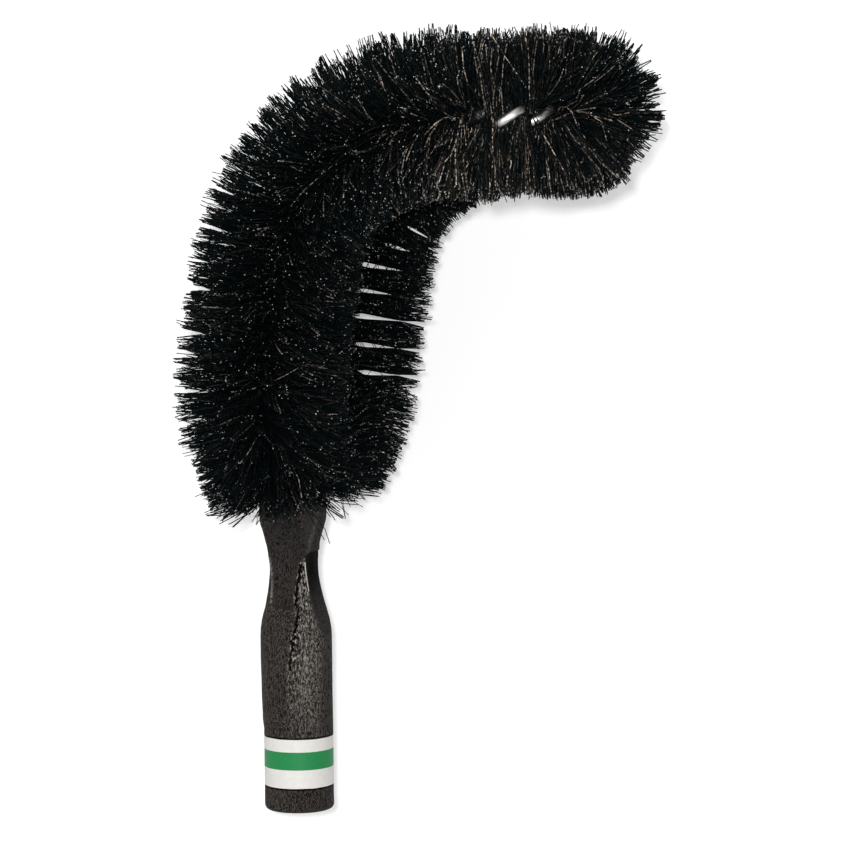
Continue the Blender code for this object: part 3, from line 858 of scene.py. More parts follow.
# %% Make one length of coat
def make_coat(name, low, high):
    """The fibres between two distances along the wire, each drawn out to both sides of it."""
    count = round((high - low) * FIBRES_PER_METRE)
    distances = np.repeat(np.sort(chance.uniform(low, high, count)), 2)
    lines, beside, tangent, clump = fibre_lines(distances, np.tile((1, -1), count))
    fibres = len(lines)
    tone = fibre_tones(lines, distances, clump)
    thick = (0.8 + 0.4 * tone) * (1 + END_THICKER * end_share(lines[:, -1])) * FIBRE_RADIUS
    thick = thick[:, None] * chance.uniform(0.9, 1.1, (fibres, 1))
    radii, across, lengthways = (
        np.repeat(one_each, FIBRE_RINGS, axis=1) for one_each in (thick, beside[:, None], tangent[:, None])
    )
    corners = tube_corners(lines, lengthways, across, radii, FIBRE_SIDES)
    walls, roots, tips = tube_faces(fibres, FIBRE_RINGS, FIBRE_SIDES)
    piece = make_mesh(name, corners, walls, roots, tips)
    write_values(piece, "tone", "POINT", np.repeat(tone, FIBRE_RINGS * FIBRE_SIDES))
    write_values(piece, "along", "POINT", np.tile(np.repeat(FIBRE_SHARES, FIBRE_SIDES), fibres))
    is_cut = np.concatenate((np.zeros(len(walls) + fibres), np.ones(fibres)))
    write_values(piece, "cut_end", "FACE", is_cut)
    piece.data.polygons.foreach_set("use_smooth", is_cut == 0)
    tone_map(piece, tone)
    return piece


# %% [markdown]
# ## Black fibre
#
# Stiff black fibre is never one black. Most strands are nearly soot black and some are brown. A fine
# noise paints the brown strands in beads of light, and many cut ends are painted pale, which gives the
# pin pricks of light all over the coat: both are painted highlights. The finish splits each fibre's
# number into the shade of its strand and the brightness of its end, and the fine noise makes the beads.

# %% Fibre finish
SOOT, DARK_BROWN, LIGHT_BROWN = (0.0020, 0.0046, 0.0054), (0.040, 0.036, 0.031), (0.74, 0.61, 0.50)
# the pale cut end is a painted glint
DULL_END, PAINTED_END_GLINT = (0.004, 0.006, 0.007), (0.85, 0.82, 0.77)


def black_fibre():
    fibre = Finish("black_fibre")
    tone, along, cut = fibre.value("tone"), fibre.value("along"), fibre.value("cut_end")
    grains = fibre.noise(fibre.place(), 850.0, 2.0)
    # painted highlight: a fine noise lights the brown strands in beads
    painted_glint_beads = fibre.spread(grains, 0.45, 0.59, 0.04, 1.0)
    strand = fibre.blend(fibre.math("MULTIPLY", fibre.spread(tone, 0.40, 0.85), painted_glint_beads), SOOT, DARK_BROWN)
    strand = fibre.blend(fibre.math("MULTIPLY", fibre.spread(tone, 0.78, 0.96), painted_glint_beads), strand, LIGHT_BROWN)
    # painted highlight: the glint of each cut end, as bright as the fibre's number says
    speck = fibre.math("FRACT", fibre.math("MULTIPLY", tone, SHADES))
    speck = fibre.math("POWER", fibre.spread(speck, 0.15, 0.95), 2.0)
    speck = fibre.math("MULTIPLY", speck, fibre.spread(grains, 0.42, 0.62, 0.12, 1.0))
    at_end = fibre.math("MAXIMUM", cut, fibre.spread(along, 0.986, 0.997))
    colour = fibre.blend(at_end, strand, fibre.blend(speck, DULL_END, PAINTED_END_GLINT))
    rough = fibre.spread(tone, 0, 1, 0.45, 0.60)
    return fibre.done({"Base Color": colour, "Roughness": rough, "Specular IOR Level": 0.03})


BLACK_FIBRE = black_fibre()
print("finish ready:", BLACK_FIBRE.name)

# %% Coat the legs and the tip
LEG_LENGTHS = 7
TIP_LENGTHS = 4
TIP_START = HALF_LENGTH - TIP_QUARTER


def coat_ends():
    """Name, start and end of each length of coat, named as the CAD nodes that they replace."""
    start = IN_HOLE + BRISTLE_START
    leg_step = (TIP_START - start) / LEG_LENGTHS
    tip_step = 2 * TIP_QUARTER / TIP_LENGTHS
    ends = []
    for i in range(LEG_LENGTHS):
        low = start + i * leg_step
        ends.append((f"near_leg_bristles_{i + 1}", low, low + leg_step))
        ends.append((f"far_leg_bristles_{i + 1}", 2 * HALF_LENGTH - low - leg_step, 2 * HALF_LENGTH - low))
    for i in range(TIP_LENGTHS):
        low = TIP_START + i * tip_step
        ends.append((f"tip_bristles_{i + 1}", low, low + tip_step))
    return ends


COATS = []
for node_name, low, high in coat_ends():
    coat = make_coat(node_name.replace("bristles", "coat"), low, high)
    coat.data.materials.append(BLACK_FIBRE)
    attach(coat, "root")
    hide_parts(node_name)
    COATS.append(coat)
print("lengths of coat:", len(COATS), "faces:", sum(len(coat.data.polygons) for coat in COATS))

# %% [markdown]
# ## The carved handle
#
# The real handle is turned on a lathe and then its head is scooped on four sides by a round cutter, so
# the neck has soft flats with pointed tongues of the round body between them. The CAD model does it
# with cuts, which leave knife edges. Here it is one skin instead: a radius for each height and each
# direction. The turned outline gives the radius, each scoop limits it, and a soft minimum rounds the
# edges between them as sanding does. The real head was finished by hand and is fuller than that on its
# left side and behind, so two smooth swellings are added.

# %% Sizes of the handle
HANDLE_RADIUS = 0.0153
END_ROUND = 0.0018
SOCKET_MOUTH_RADIUS = 0.011
SOCKET_FLOOR_RADIUS = 0.0095
SOCKET_DEPTH = 0.060
TOP_CHAMFER = 0.001
SHOULDER_Z = HANDLE_TOP - 0.063
NECK_Z = HANDLE_TOP - 0.0295
FLARE_Z = HANDLE_TOP - 0.008
NECK_RADIUS = 0.0102
SCOOP_Z = HANDLE_TOP - 0.0285
FACE_SCOOP_RADIUS, FACE_SCOOP_HALF = 0.0300, 0.0073
FACE_SCOOP_SLANT, FACE_SCOOP_SLANT_LENGTH = math.radians(13), 0.011
FACE_SCOOP_END_RADIUS, FACE_SCOOP_END_ANGLE = 0.0025, math.radians(80)
SIDE_SCOOP_RADIUS, SIDE_SCOOP_HALF = 0.0746, 0.0076
SIDE_FLAT_HALF, SIDE_FLAT_SOFTNESS = 0.0100, 0.0006
LABEL_BOTTOM, LABEL_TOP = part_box("label_band")[0].z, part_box("label_band")[1].z
LABEL_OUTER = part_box("label_band")[1].x
LABEL_THICKNESS = 0.0003
CLEARANCE = 0.0003
SEAT_RADIUS = LABEL_OUTER - LABEL_THICKNESS - CLEARANCE
SEAT_BOTTOM, SEAT_TOP = LABEL_BOTTOM - CLEARANCE, LABEL_TOP + CLEARANCE
EDGE_SOFTNESS = 0.00025
NECK_SOFTNESS, NECK_SOFT_FROM, NECK_SOFT_TO = 0.0020, 0.113, 0.118
EDGE_WEAR = 0.00030
# height and depth up each swelling, in millimetres
LEFT_SWELLING = (
    *((36, 0), (40, 0.5), (50, 0.9), (60, 1.1), (80, 1.2), (90, 1.9), (96, 2.4)),
    *((103, 2.8), (108, 2.9), (113, 3.5), (117, 4.0), (120, 4.4), (127, 4.5)),
)
BACK_SWELLING = ((86, 0), (98, 0.6), (112, 0.6), (122, 0.2), (130, 0))
# each: middle direction, half width and profile
SWELLINGS = (
    (math.radians(-78), math.radians(78), LEFT_SWELLING),
    (math.radians(115), math.radians(50), BACK_SWELLING),
)
HANDLE_COLUMNS = 300
ROW_STEP = 0.00045
SEAT_ROWS, FOOT_ROWS, ROUND_ROWS, RIM_ROWS, SOCKET_ROWS = 12, 24, 7, 6, 24
print("label from", round(LABEL_BOTTOM, 4), "to", round(LABEL_TOP, 4))


# %% Radius of the handle at a height and a direction
def ease(share):
    """A share that starts and ends slowly."""
    return (1 - np.cos(math.pi * share)) / 2


def turned_radius(height):
    """Radius on the lathe above the lower edge."""
    below = HANDLE_RADIUS + (NECK_RADIUS - HANDLE_RADIUS) * ease(rise(height, SHOULDER_Z, NECK_Z))
    above = NECK_RADIUS + (HANDLE_RADIUS - NECK_RADIUS) * ease(rise(height, NECK_Z, FLARE_Z))
    return np.where(height < NECK_Z, below, above)


def soft_min(first, second, width):
    """The smaller of two, rounded over a width where they are nearly the same."""
    share = np.clip(0.5 + (second - first) / (2 * width), 0, 1)
    return first * share + second * (1 - share) - width * share * (1 - share)


def scoop_half(height, radius, half):
    """Distance of a scoop's surface from the axis."""
    away = np.clip(np.abs(height - SCOOP_Z), 0, radius * 0.999)
    return half + radius - np.sqrt(radius**2 - away**2)


def scoop_end():
    """Drops and distances from the axis down a face scoop, which ends in a short steep step."""
    end_turn = FACE_SCOOP_END_ANGLE - FACE_SCOOP_SLANT
    stretches = [
        (FACE_SCOOP_RADIUS * FACE_SCOOP_SLANT, 1 / FACE_SCOOP_RADIUS),
        (FACE_SCOOP_SLANT_LENGTH, 0),
        (FACE_SCOOP_END_RADIUS * end_turn, 1 / FACE_SCOOP_END_RADIUS),
        (HANDLE_RADIUS, 0),
    ]
    route = make_route(0, FACE_SCOOP_HALF, 0, stretches)
    length = sum(stretch[0] for stretch in stretches)
    return np.array([follow(route, length * step / 200)[:2] for step in range(201)]).T


SCOOP_DROPS, SCOOP_HALVES = scoop_end()


def skin_limits(angle, height):
    """The lathe's radius, and how far out each pair of scoops leaves the wood."""
    face = scoop_half(height, FACE_SCOOP_RADIUS, FACE_SCOOP_HALF)
    face = np.where(height > SCOOP_Z, face, np.interp(SCOOP_Z - height, SCOOP_DROPS, SCOOP_HALVES))
    side = scoop_half(height, SIDE_SCOOP_RADIUS, SIDE_SCOOP_HALF)
    side = np.where(height > SCOOP_Z, soft_min(side, SIDE_FLAT_HALF, SIDE_FLAT_SOFTNESS), side)
    by_face = face / np.maximum(np.abs(np.cos(angle)), 0.05)
    by_side = side / np.maximum(np.abs(np.sin(angle)), 0.05)
    return turned_radius(height), by_face, by_side


def fullness(angle, height):
    """How much fuller than the CAD model's the hand-finished wood is."""
    skin = 0
    for middle, half, profile in SWELLINGS:
        heights, depths = np.array(profile).T / 1000
        skin = skin + bell(angle - middle, half) * np.interp(height, heights, depths)
    return skin


def carved_radius(angle, height):
    """Radius of the skin, from the lathe, the four scoops and the two swellings."""
    turned, by_face, by_side = skin_limits(angle, height)
    width = EDGE_SOFTNESS + NECK_SOFTNESS * rise(height, NECK_SOFT_FROM, NECK_SOFT_TO)
    return soft_min(soft_min(turned, by_face, width), by_side, width) + fullness(angle, height)


def edge_share(angle, height):
    """How near to an edge between two cuts a place is."""
    nearest = np.sort(np.stack(skin_limits(angle, height)), axis=0)
    return np.exp(-(((nearest[1] - nearest[0]) / EDGE_WEAR) ** 2))


def scooped_share(angle, height):
    """How surely a place lies on a scooped face, which the cutter leaves smooth."""
    turned, by_face, by_side = skin_limits(angle, height)
    return rise(turned - np.minimum(by_face, by_side), 0, 0.0005)


print("neck radius between the scoops:", round(float(carved_radius(math.pi / 4, NECK_Z)), 4))

# %% [markdown]
# ## Grain that can be felt
#
# The wood has an open grain that runs up the handle, and the stain doesn't fill it. On the long tongue
# under the hook the cutter has torn the grain, and a split runs up the tongue's left edge. A hollow is
# cut beside its right edge, and a painted highlight runs up the top of that edge. The grain, the tear,
# the split and the hollow are moved in the mesh itself, so they are there when the light comes from the
# side, and only the finest pores are left to the finish.

# %% Grain, tear and split
GRAIN_DEPTH = 0.00016
TEAR_DEPTH = 0.00090
SPLIT_DEPTH, SPLIT_HALF_WIDTH = 0.0010, 0.00075
SPLIT_LOW, SPLIT_HIGH = 0.064, 0.1105
# the top of the hollow gets painted shade
HOLLOW_DEPTH, HOLLOW_PAINTED_SHADE = 0.0009, 0.36
HOLLOW_TOP, HOLLOW_FAR = 0.1143, math.radians(150)
# a painted shadow in a line at each edge of the label's seat
SEAT_PAINTED_SHADOW, SEAT_LINE_HALF = 0.35, 0.0005
# a painted highlight up the tongue's right edge
STREAK_LOW, STREAK_HIGH, STREAK_HALF = 0.0980, 0.1112, math.radians(3.4)
# up the body's side: wear, and partly a painted highlight; the band on the neck is a painted sheen
WEAR_AND_HIGHLIGHT_AT, WEAR_AND_HIGHLIGHT_HALF = math.radians(42), math.radians(35)
SHEEN_BAND_AT, SHEEN_BAND_SLANT, SHEEN_BAND_HALF = math.radians(60), math.radians(34), math.radians(22)
SHEEN_BAND_SHARE = 0.65
# each: the heights between which something grows, or fades where the first is the higher
TORN_LOW, TORN_TOP, TORN_LESS = (0.028, 0.075), (0.1122, 0.1105), (0.100, 0.080)
SPLIT_TEAR, HOLLOW_LOW, HOLLOW_SHADE = (0.058, 0.070), (0.085, 0.099), (0.078, 0.106)
WEAR_AND_HIGHLIGHT_LOW, WEAR_AND_HIGHLIGHT_TOP = (0.024, 0.050), (0.102, 0.088)
SHEEN_BAND_LOW, SHEEN_BAND_TOP, SHEEN_BAND_TURN = (0.1140, 0.1165), (0.136, 0.131), (0.115, 0.129)
# left and right edge of the tongue, as (height in mm, direction in degrees)
TONGUE_LEFT = (
    *((44, 14), (50.5, 11), (67, 12.4), (77, 18.3), (90.2, 28.6)),
    *((93.5, 22), (99.5, 25.8), (108.8, 36.4), (111.8, 43.5)),
)
TONGUE_RIGHT = ((44, 55), (50.5, 59.8), (77, 58.4), (97.5, 57.8), (111.8, 47.5))


def edge_angle(edge, height):
    """Direction of one edge of the tongue at a height."""
    heights, directions = zip(*edge)
    return np.radians(np.interp(height * 1000, heights, directions))


def grain_noise(angle, height, across, along, seed):
    """Noise on the round skin, stretched up the handle."""
    x, y = np.sin(angle) * HANDLE_RADIUS * across, np.cos(angle) * HANDLE_RADIUS * across
    return noise_at(x + seed, y - seed, height * along)


def torn_share(angle, height):
    """How torn the grain is: most beside the split, and less below the tongue."""
    below = rise(height, *TORN_LESS)
    from_left = angle - edge_angle(TONGUE_LEFT, height)
    from_right = edge_angle(TONGUE_RIGHT, height) + 0.35 * below - angle
    inside = rise(from_left, -0.12, -0.04) * rise(from_right, 0, 0.06 + 0.5 * below)
    beside_split = bell(from_left - 0.05, 0.30) * rise(height, *SPLIT_TEAR)
    depth = np.maximum(beside_split, 1 - 0.45 * below)
    return depth * inside * rise(height, *TORN_LOW) * rise(height, *TORN_TOP)


def split_share(angle, height):
    """How deep in the long split on the tongue's left edge a place is."""
    middle = edge_angle(TONGUE_LEFT, height) + math.radians(5) * noise_at(height * 500, 5, 0)
    width = SPLIT_HALF_WIDTH * np.maximum(0.05, 0.85 + 2.0 * noise_at(height * 520, 9, 0))
    at_split = (height > SPLIT_LOW) & (height < SPLIT_HIGH)
    return at_split * bell(angle - middle, width / turned_radius(height))


def hollow_share(angle, height):
    """How deep in the hollow that is cut beside the tongue a place is."""
    from_left = angle - edge_angle(TONGUE_RIGHT, height) - 0.02
    across = rise(from_left, 0, 0.05) * rise(angle, HOLLOW_FAR, HOLLOW_FAR - 0.4)
    slanted_top = HOLLOW_TOP + 0.0012 * rise(from_left, 0, 0.6)
    return across * rise(height, *HOLLOW_LOW) * rise(slanted_top - height, 0, 0.0008)


def painted_shade_share(angle, height):
    """Painted shade at a place: in the split, at the top of the hollow, and in the line round the label."""
    hollow = HOLLOW_PAINTED_SHADE * hollow_share(angle, height) * rise(height, *HOLLOW_SHADE)
    from_seat = np.minimum(np.abs(height - SEAT_TOP), np.abs(height - SEAT_BOTTOM))
    seat = SEAT_PAINTED_SHADOW * (from_seat < SEAT_LINE_HALF)
    return np.maximum.reduce((split_share(angle, height), hollow, seat))


def streak_share(angle, height):
    """How near a place is to the painted highlight up the tongue's right edge."""
    at_streak = (height > STREAK_LOW) & (height < STREAK_HIGH)
    return at_streak * bell(angle - edge_angle(TONGUE_RIGHT, height) + 0.01, STREAK_HALF)


def wear_and_sheen_share(angle, height):
    """Wear and painted highlight up the body's side under the hook, and painted sheen in a slanting band on
    the neck.
    """
    body = bell(angle - WEAR_AND_HIGHLIGHT_AT, WEAR_AND_HIGHLIGHT_HALF) * rise(height, *WEAR_AND_HIGHLIGHT_LOW) * rise(height, *WEAR_AND_HIGHLIGHT_TOP)
    band_at = SHEEN_BAND_AT + SHEEN_BAND_SLANT * rise(height, *SHEEN_BAND_TURN)
    neck = bell(angle - band_at, SHEEN_BAND_HALF) * rise(height, *SHEEN_BAND_LOW)
    neck *= rise(height, *SHEEN_BAND_TOP)
    return body + SHEEN_BAND_SHARE * neck


def relief(angle, height):
    """How far the skin stands out at a direction and height."""
    stand = GRAIN_DEPTH * grain_noise(angle, height, 900, 45, 3)
    stand += 0.6 * GRAIN_DEPTH * grain_noise(angle, height, 2200, 130, 8)
    stand += TEAR_DEPTH * torn_share(angle, height) * grain_noise(angle, height, 1100, 560, 21)
    return stand - SPLIT_DEPTH * split_share(angle, height) - HOLLOW_DEPTH * hollow_share(angle, height)


print("split from", SPLIT_LOW, "to", SPLIT_HIGH)


# %% Rows of the handle's skin
def handle_rows():
    """
    Height and radius of each row from the top's rim down, round the foot and up the socket. A radius
    that isn't above 0 is added to the carved skin's.
    """
    rows = [(HANDLE_TOP, -TOP_CHAMFER), (HANDLE_TOP - TOP_CHAMFER, 0.0)]
    rows += [(z, 0.0) for z in np.arange(HANDLE_TOP - TOP_CHAMFER - ROW_STEP, SEAT_TOP, -ROW_STEP)]
    rows.append((SEAT_TOP, 0.0))
    rows += [(z, SEAT_RADIUS) for z in np.linspace(SEAT_TOP, SEAT_BOTTOM, SEAT_ROWS)]
    rows += [(z, 0.0) for z in np.linspace(SEAT_BOTTOM, END_ROUND, FOOT_ROWS)]
    for angle in np.linspace(0, math.pi / 2, ROUND_ROWS)[1:]:
        rows.append((END_ROUND * (1 - math.sin(angle)), END_ROUND * (math.cos(angle) - 1)))
    rim = np.linspace(HANDLE_RADIUS - END_ROUND, SOCKET_MOUTH_RADIUS, RIM_ROWS)
    rows += [(0, radius) for radius in rim[1:]]
    for share in np.linspace(0, 1, SOCKET_ROWS)[1:]:
        radius = SOCKET_MOUTH_RADIUS + (SOCKET_FLOOR_RADIUS - SOCKET_MOUTH_RADIUS) * share
        rows.append((SOCKET_DEPTH * share, radius))
    return rows


def round_row(radii, angles, heights):
    """Corners at radii, directions and heights about the handle's axis."""
    return np.stack((radii * np.sin(angles), -radii * np.cos(angles), heights), axis=1)


def make_handle():
    """The skin as one closed mesh, its top and its socket's floor closed by a flat face."""
    angles = np.linspace(-math.pi, math.pi, HANDLE_COLUMNS, endpoint=False)
    corners = []
    for height, radius in handle_rows():
        heights = np.full(HANDLE_COLUMNS, float(height))
        skin = radius if radius > 0 else carved_radius(angles, heights) + radius
        if radius == 0:
            skin += relief(angles, heights)
        corners.append(round_row(skin, angles, heights))
    walls, first, last = tube_faces(1, len(corners), HANDLE_COLUMNS)
    return make_mesh("carved_handle", np.concatenate(corners), walls[:, ::-1], first[:, ::-1], last[:, ::-1])


HANDLE = make_handle()
print("faces of the handle:", len(HANDLE.data.polygons))

# %% [markdown]
# ## Holes for the legs
#
# Each leg of the loop goes into its own slanted hole in the handle's top. A Boolean cut with a plain
# round peg is the direct way to make one, because the hole has a true edge and the pegs can be thrown
# away afterwards.

# %% Drill the leg holes
HOLE_RADIUS = STRAND_OFFSET + STRAND_RADIUS + CLEARANCE
PEG_OVERRUN = 0.002
PEG_SIDES = 48


def drill(target, side):
    length = LEG_HOLE_DEPTH / math.cos(LEG_HOLE_ANGLE) + CLEARANCE + PEG_OVERRUN
    bpy.ops.mesh.primitive_cylinder_add(vertices=PEG_SIDES, radius=HOLE_RADIUS, depth=length)
    peg = bpy.context.object
    lean = Matrix.Rotation(-side * LEG_HOLE_ANGLE, 4, "X")
    seat = Matrix.Translation((0, side * LEG_HOLE_HALF_SPACING, HANDLE_TOP))
    peg.data.transform(seat @ lean @ Matrix.Translation((0, 0, PEG_OVERRUN - length / 2)))
    cut = target.modifiers.new("leg_hole", "BOOLEAN")
    cut.operation, cut.solver, cut.object = "DIFFERENCE", "MANIFOLD", peg
    bpy.context.view_layer.objects.active = target
    bpy.ops.object.modifier_apply(modifier=cut.name)
    bpy.data.objects.remove(peg, do_unlink=True)


for side in (-1, 1):
    drill(HANDLE, side)
HANDLE.data.shade_smooth()
HANDLE.data.set_sharp_from_angle(angle=math.radians(40))
print("faces after drilling:", len(HANDLE.data.polygons))

# %% [markdown]
# ## Black stain on open wood
#
# The handle is stained nearly black. The stain lies thin on ridges, where a dark brown shows, and pools
# in the pores, which noise drawn out along the handle makes. The scooped faces are smooth and even. The
# torn grain is pale where flakes have lost their stain, and partly painted bright as a highlight, with
# painted shade in the gaps. Hands have rubbed the body's side and the edges lighter, which is partly a
# painted highlight too, and a painted sheen lies in a band on the neck. A painted highlight runs up the
# tongue's right edge, and painted shade darkens the split, the top of the hollow and a line round the
# label. The finish reads where all this is from the numbers at the skin's corners.

# %% Colours of the stained wood
# the black of the pores, also used for the painted shade
PORE_AND_SHADE_BLACK = (0.002, 0.002, 0.002)
STAIN_DARK, STAIN_THIN, STAIN_BROWN = (0.012, 0.011, 0.010), (0.040, 0.034, 0.030), (0.108, 0.094, 0.085)
STAIN_POOLED, STAIN_SMOOTH = (0.018, 0.017, 0.016), (0.037, 0.033, 0.031)
# both rubbed colours are wear and partly a painted highlight; the first also paints the sheen on the neck
WEAR_AND_SHEEN_COLOUR, EDGE_WEAR_AND_HIGHLIGHT = (0.25, 0.225, 0.20), (0.24, 0.22, 0.20)
# the pale torn flakes are lost stain and partly a painted highlight
TORN_PALE_AND_HIGHLIGHT, PAINTED_EDGE_HIGHLIGHT = (0.56, 0.51, 0.46), (0.85, 0.81, 0.75)


# %% Stained wood finish
def stained_wood():
    wood = Finish("black_stained_wood")
    names = ("torn", "wear_and_sheen", "dark", "edge", "scooped", "streak")
    torn, wear_and_sheen, dark, edge, scooped, streak = (wood.value(name) for name in names)
    grain = wood.noise(wood.place((1, 1, 0.07)), 1100.0, 4.0, 0.65, 0.4)
    pores = wood.noise(wood.place((1, 1, 0.3)), 2200.0, 2.0, 0.5)
    patches = wood.noise(wood.place((1, 1, 0.5)), 150.0, 3.0, 0.6)
    fine = wood.noise(wood.place((1, 1, 0.6)), 2100.0, 3.0, 0.7)
    flakes = wood.noise(wood.place((1, 1, 0.5)), 1050.0, 3.0, 0.7)
    lines = wood.noise(wood.place((1, 1, 0.04)), 1300.0, 2.0, 0.6)
    stain = wood.blend(wood.spread(grain, 0.35, 0.68), STAIN_DARK, STAIN_THIN)
    stain = wood.blend(wood.spread(fine, 0.47, 0.58, 0, 0.9), stain, STAIN_BROWN)
    stain = wood.blend(wood.spread(patches, 0.4, 0.75, 0, 0.4), stain, STAIN_POOLED)
    smooth = wood.math("MULTIPLY", scooped, wood.math("SUBTRACT", 0.8, torn))
    stain = wood.blend(smooth, stain, STAIN_SMOOTH)
    # torn flakes: lost stain, and partly a painted highlight
    stain = wood.blend(wood.math("MULTIPLY", torn, wood.spread(flakes, 0.51, 0.60)), stain, TORN_PALE_AND_HIGHLIGHT)
    wear_and_sheen_lines = wood.math("MAXIMUM", wood.spread(lines, 0.46, 0.64, 0, 0.5), wood.spread(fine, 0.50, 0.60))
    # wear and painted highlight on the body's side, painted sheen on the neck
    stain = wood.blend(wood.math("MULTIPLY", wear_and_sheen, wear_and_sheen_lines), stain, WEAR_AND_SHEEN_COLOUR)
    # edges near the tongue are painted lighter: wear, and partly a painted highlight
    stain = wood.blend(wood.math("MULTIPLY", edge, 0.8), stain, EDGE_WEAR_AND_HIGHLIGHT)
    # painted shade in the gaps between the torn flakes
    flake_gap_shade = wood.math("MULTIPLY", torn, wood.spread(flakes, 0.48, 0.43))
    deep = wood.math("MAXIMUM", flake_gap_shade, wood.spread(pores, 0.54, 0.62, 0, 0.9))
    # painted shade in the split, at the top of the hollow and in the line round the label
    deep = wood.math("MAXIMUM", deep, wood.spread(dark, 0.02, 0.35, 0, 0.98))
    colour = wood.blend(deep, stain, PORE_AND_SHADE_BLACK)
    # painted highlight up the tongue's right edge
    colour = wood.blend(streak, colour, PAINTED_EDGE_HIGHLIGHT)
    height = wood.math("MULTIPLY", wood.math("ADD", grain, fine), 0.8)
    height = wood.math("SUBTRACT", height, wood.spread(pores, 0.52, 0.68, 0, 0.8))
    wood.bump(height, 0.0007)
    rough = wood.spread(fine, 0.3, 0.7, 0.34, 0.55)
    return wood.done({"Base Color": colour, "Roughness": rough, "Specular IOR Level": 0.02})


STAINED_WOOD = stained_wood()
print("finish ready:", STAINED_WOOD.name)

# %% Write the numbers at the skin's corners and finish the handle
# the heights where edges are painted lighter, as wear and partly as a painted highlight
WEAR_AND_HIGHLIGHT_EDGE_Z, WEAR_AND_HIGHLIGHT_EDGE_HALF = 0.103, 0.010
corners = np.array([corner.co for corner in HANDLE.data.vertices], dtype=float)
angles, heights = np.arctan2(corners[:, 0], -corners[:, 1]), corners[:, 2]
for name, share in (
    ("torn", torn_share),
    ("wear_and_sheen", wear_and_sheen_share),
    ("dark", painted_shade_share),
    ("streak", streak_share),
    ("scooped", scooped_share),
):
    write_values(HANDLE, name, "POINT", share(angles, heights))
outside = np.hypot(corners[:, 0], corners[:, 1]) > 0.7 * NECK_RADIUS
can_wear_or_shine = outside & (np.abs(heights - WEAR_AND_HIGHLIGHT_EDGE_Z) < WEAR_AND_HIGHLIGHT_EDGE_HALF)
write_values(HANDLE, "edge", "POINT", edge_share(angles, heights) * can_wear_or_shine)
HANDLE.data.materials.clear()
HANDLE.data.materials.append(STAINED_WOOD)
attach(HANDLE, "root")
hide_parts("handle")
print("corners of the handle:", len(corners))

# %% [markdown]
# ## The paper label
#
# The label is a strip of coated paper, glued round in a shallow seat, with its end lapped over its
# start at the back. It carries one plain green stripe and no print. The strip is a closed skin with a
# real thickness, and its edges wander a little, as cut paper does.

# %% Make the label band
LABEL_COLUMNS = 160
LABEL_ROWS = 16
PAPER_THICKNESS = 0.00016
LAP_ANGLE, LAP_RAMP, LAP_LIFT = math.radians(14), math.radians(3), 0.00018
EDGE_WANDER = 0.00010
WAVE_HEIGHT = 0.00003


def make_label():
    """A strip that goes once round and laps over itself at the back."""
    turn = np.linspace(math.pi, 3 * math.pi + LAP_ANGLE, LABEL_COLUMNS)
    lifted = LAP_LIFT * rise(turn, 3 * math.pi - LAP_RAMP, 3 * math.pi)
    corners = []
    for radius in (LABEL_OUTER, LABEL_OUTER - PAPER_THICKNESS):
        for share in np.linspace(0, 1, LABEL_ROWS):
            wander = EDGE_WANDER * noise_at(3 * turn, 2 * share, 1) * abs(2 * share - 1) ** 3
            height = LABEL_BOTTOM + (LABEL_TOP - LABEL_BOTTOM) * share + wander
            wave = WAVE_HEIGHT * noise_at(5 * turn, 3 * share, 7)
            corners.append(round_row(radius + lifted + wave, turn, height))
    number = np.arange(2 * LABEL_ROWS * LABEL_COLUMNS).reshape(2 * LABEL_ROWS, LABEL_COLUMNS)
    order = np.concatenate((number[:LABEL_ROWS], number[: LABEL_ROWS - 1 : -1]))
    ring = np.concatenate((order, order[:1]))
    walls = np.stack((ring[:-1, :-1], ring[:-1, 1:], ring[1:, 1:], ring[1:, :-1]), axis=-1).reshape(-1, 4)
    ends = np.stack((order[:, 0], order[::-1, -1]))
    return make_mesh("label_strip", np.concatenate(corners), walls, ends)


LABEL = make_label()
LABEL.data.set_sharp_from_angle(angle=math.radians(40))
print("faces of the label:", len(LABEL.data.polygons))

# %% Paper and stripe
STRIPE_BOTTOM, STRIPE_TOP = 0.0195, 0.0275
FUZZ = 0.00016
WHITE_CLEAN, WHITE_SOILED = (0.735, 0.72, 0.685), (0.675, 0.66, 0.625)
GREEN_DARK, GREEN_LIGHT = (0.012, 0.19, 0.052), (0.024, 0.24, 0.078)


def coated_paper():
    paper = Finish("coated_paper")
    height = paper.node("SeparateXYZ", {"Vector": paper.place()}).outputs["Z"]
    height = paper.math("ADD", height, paper.math("MULTIPLY", paper.noise(paper.place(), 2500.0, 2.0), FUZZ))
    above = paper.math("GREATER_THAN", height, STRIPE_BOTTOM)
    stripe = paper.math("MULTIPLY", above, paper.math("LESS_THAN", height, STRIPE_TOP))
    mottle = paper.noise(paper.place(), 420.0, 4.0, 0.6)
    fine = paper.noise(paper.place(), 3800.0, 2.0)
    white = paper.blend(paper.spread(mottle, 0.3, 0.75), WHITE_CLEAN, WHITE_SOILED)
    green = paper.blend(paper.spread(fine, 0.35, 0.7), GREEN_DARK, GREEN_LIGHT)
    paper.bump(paper.math("ADD", mottle, paper.math("MULTIPLY", fine, 0.3)), 0.00006, 0.6)
    colour = paper.blend(stripe, white, green)
    return paper.done({"Base Color": colour, "Roughness": 0.5, "Specular IOR Level": 0.15})


LABEL.data.materials.append(coated_paper())
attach(LABEL, "root")
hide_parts("label_band")
print("label finished, stripe from", STRIPE_BOTTOM, "to", STRIPE_TOP)

# %% [markdown]
# ## The camera
#
# The lens is long, so the handle's sides stay nearly parallel. The camera was matched to the outline,
# the label's edges and the crossings of the wires.

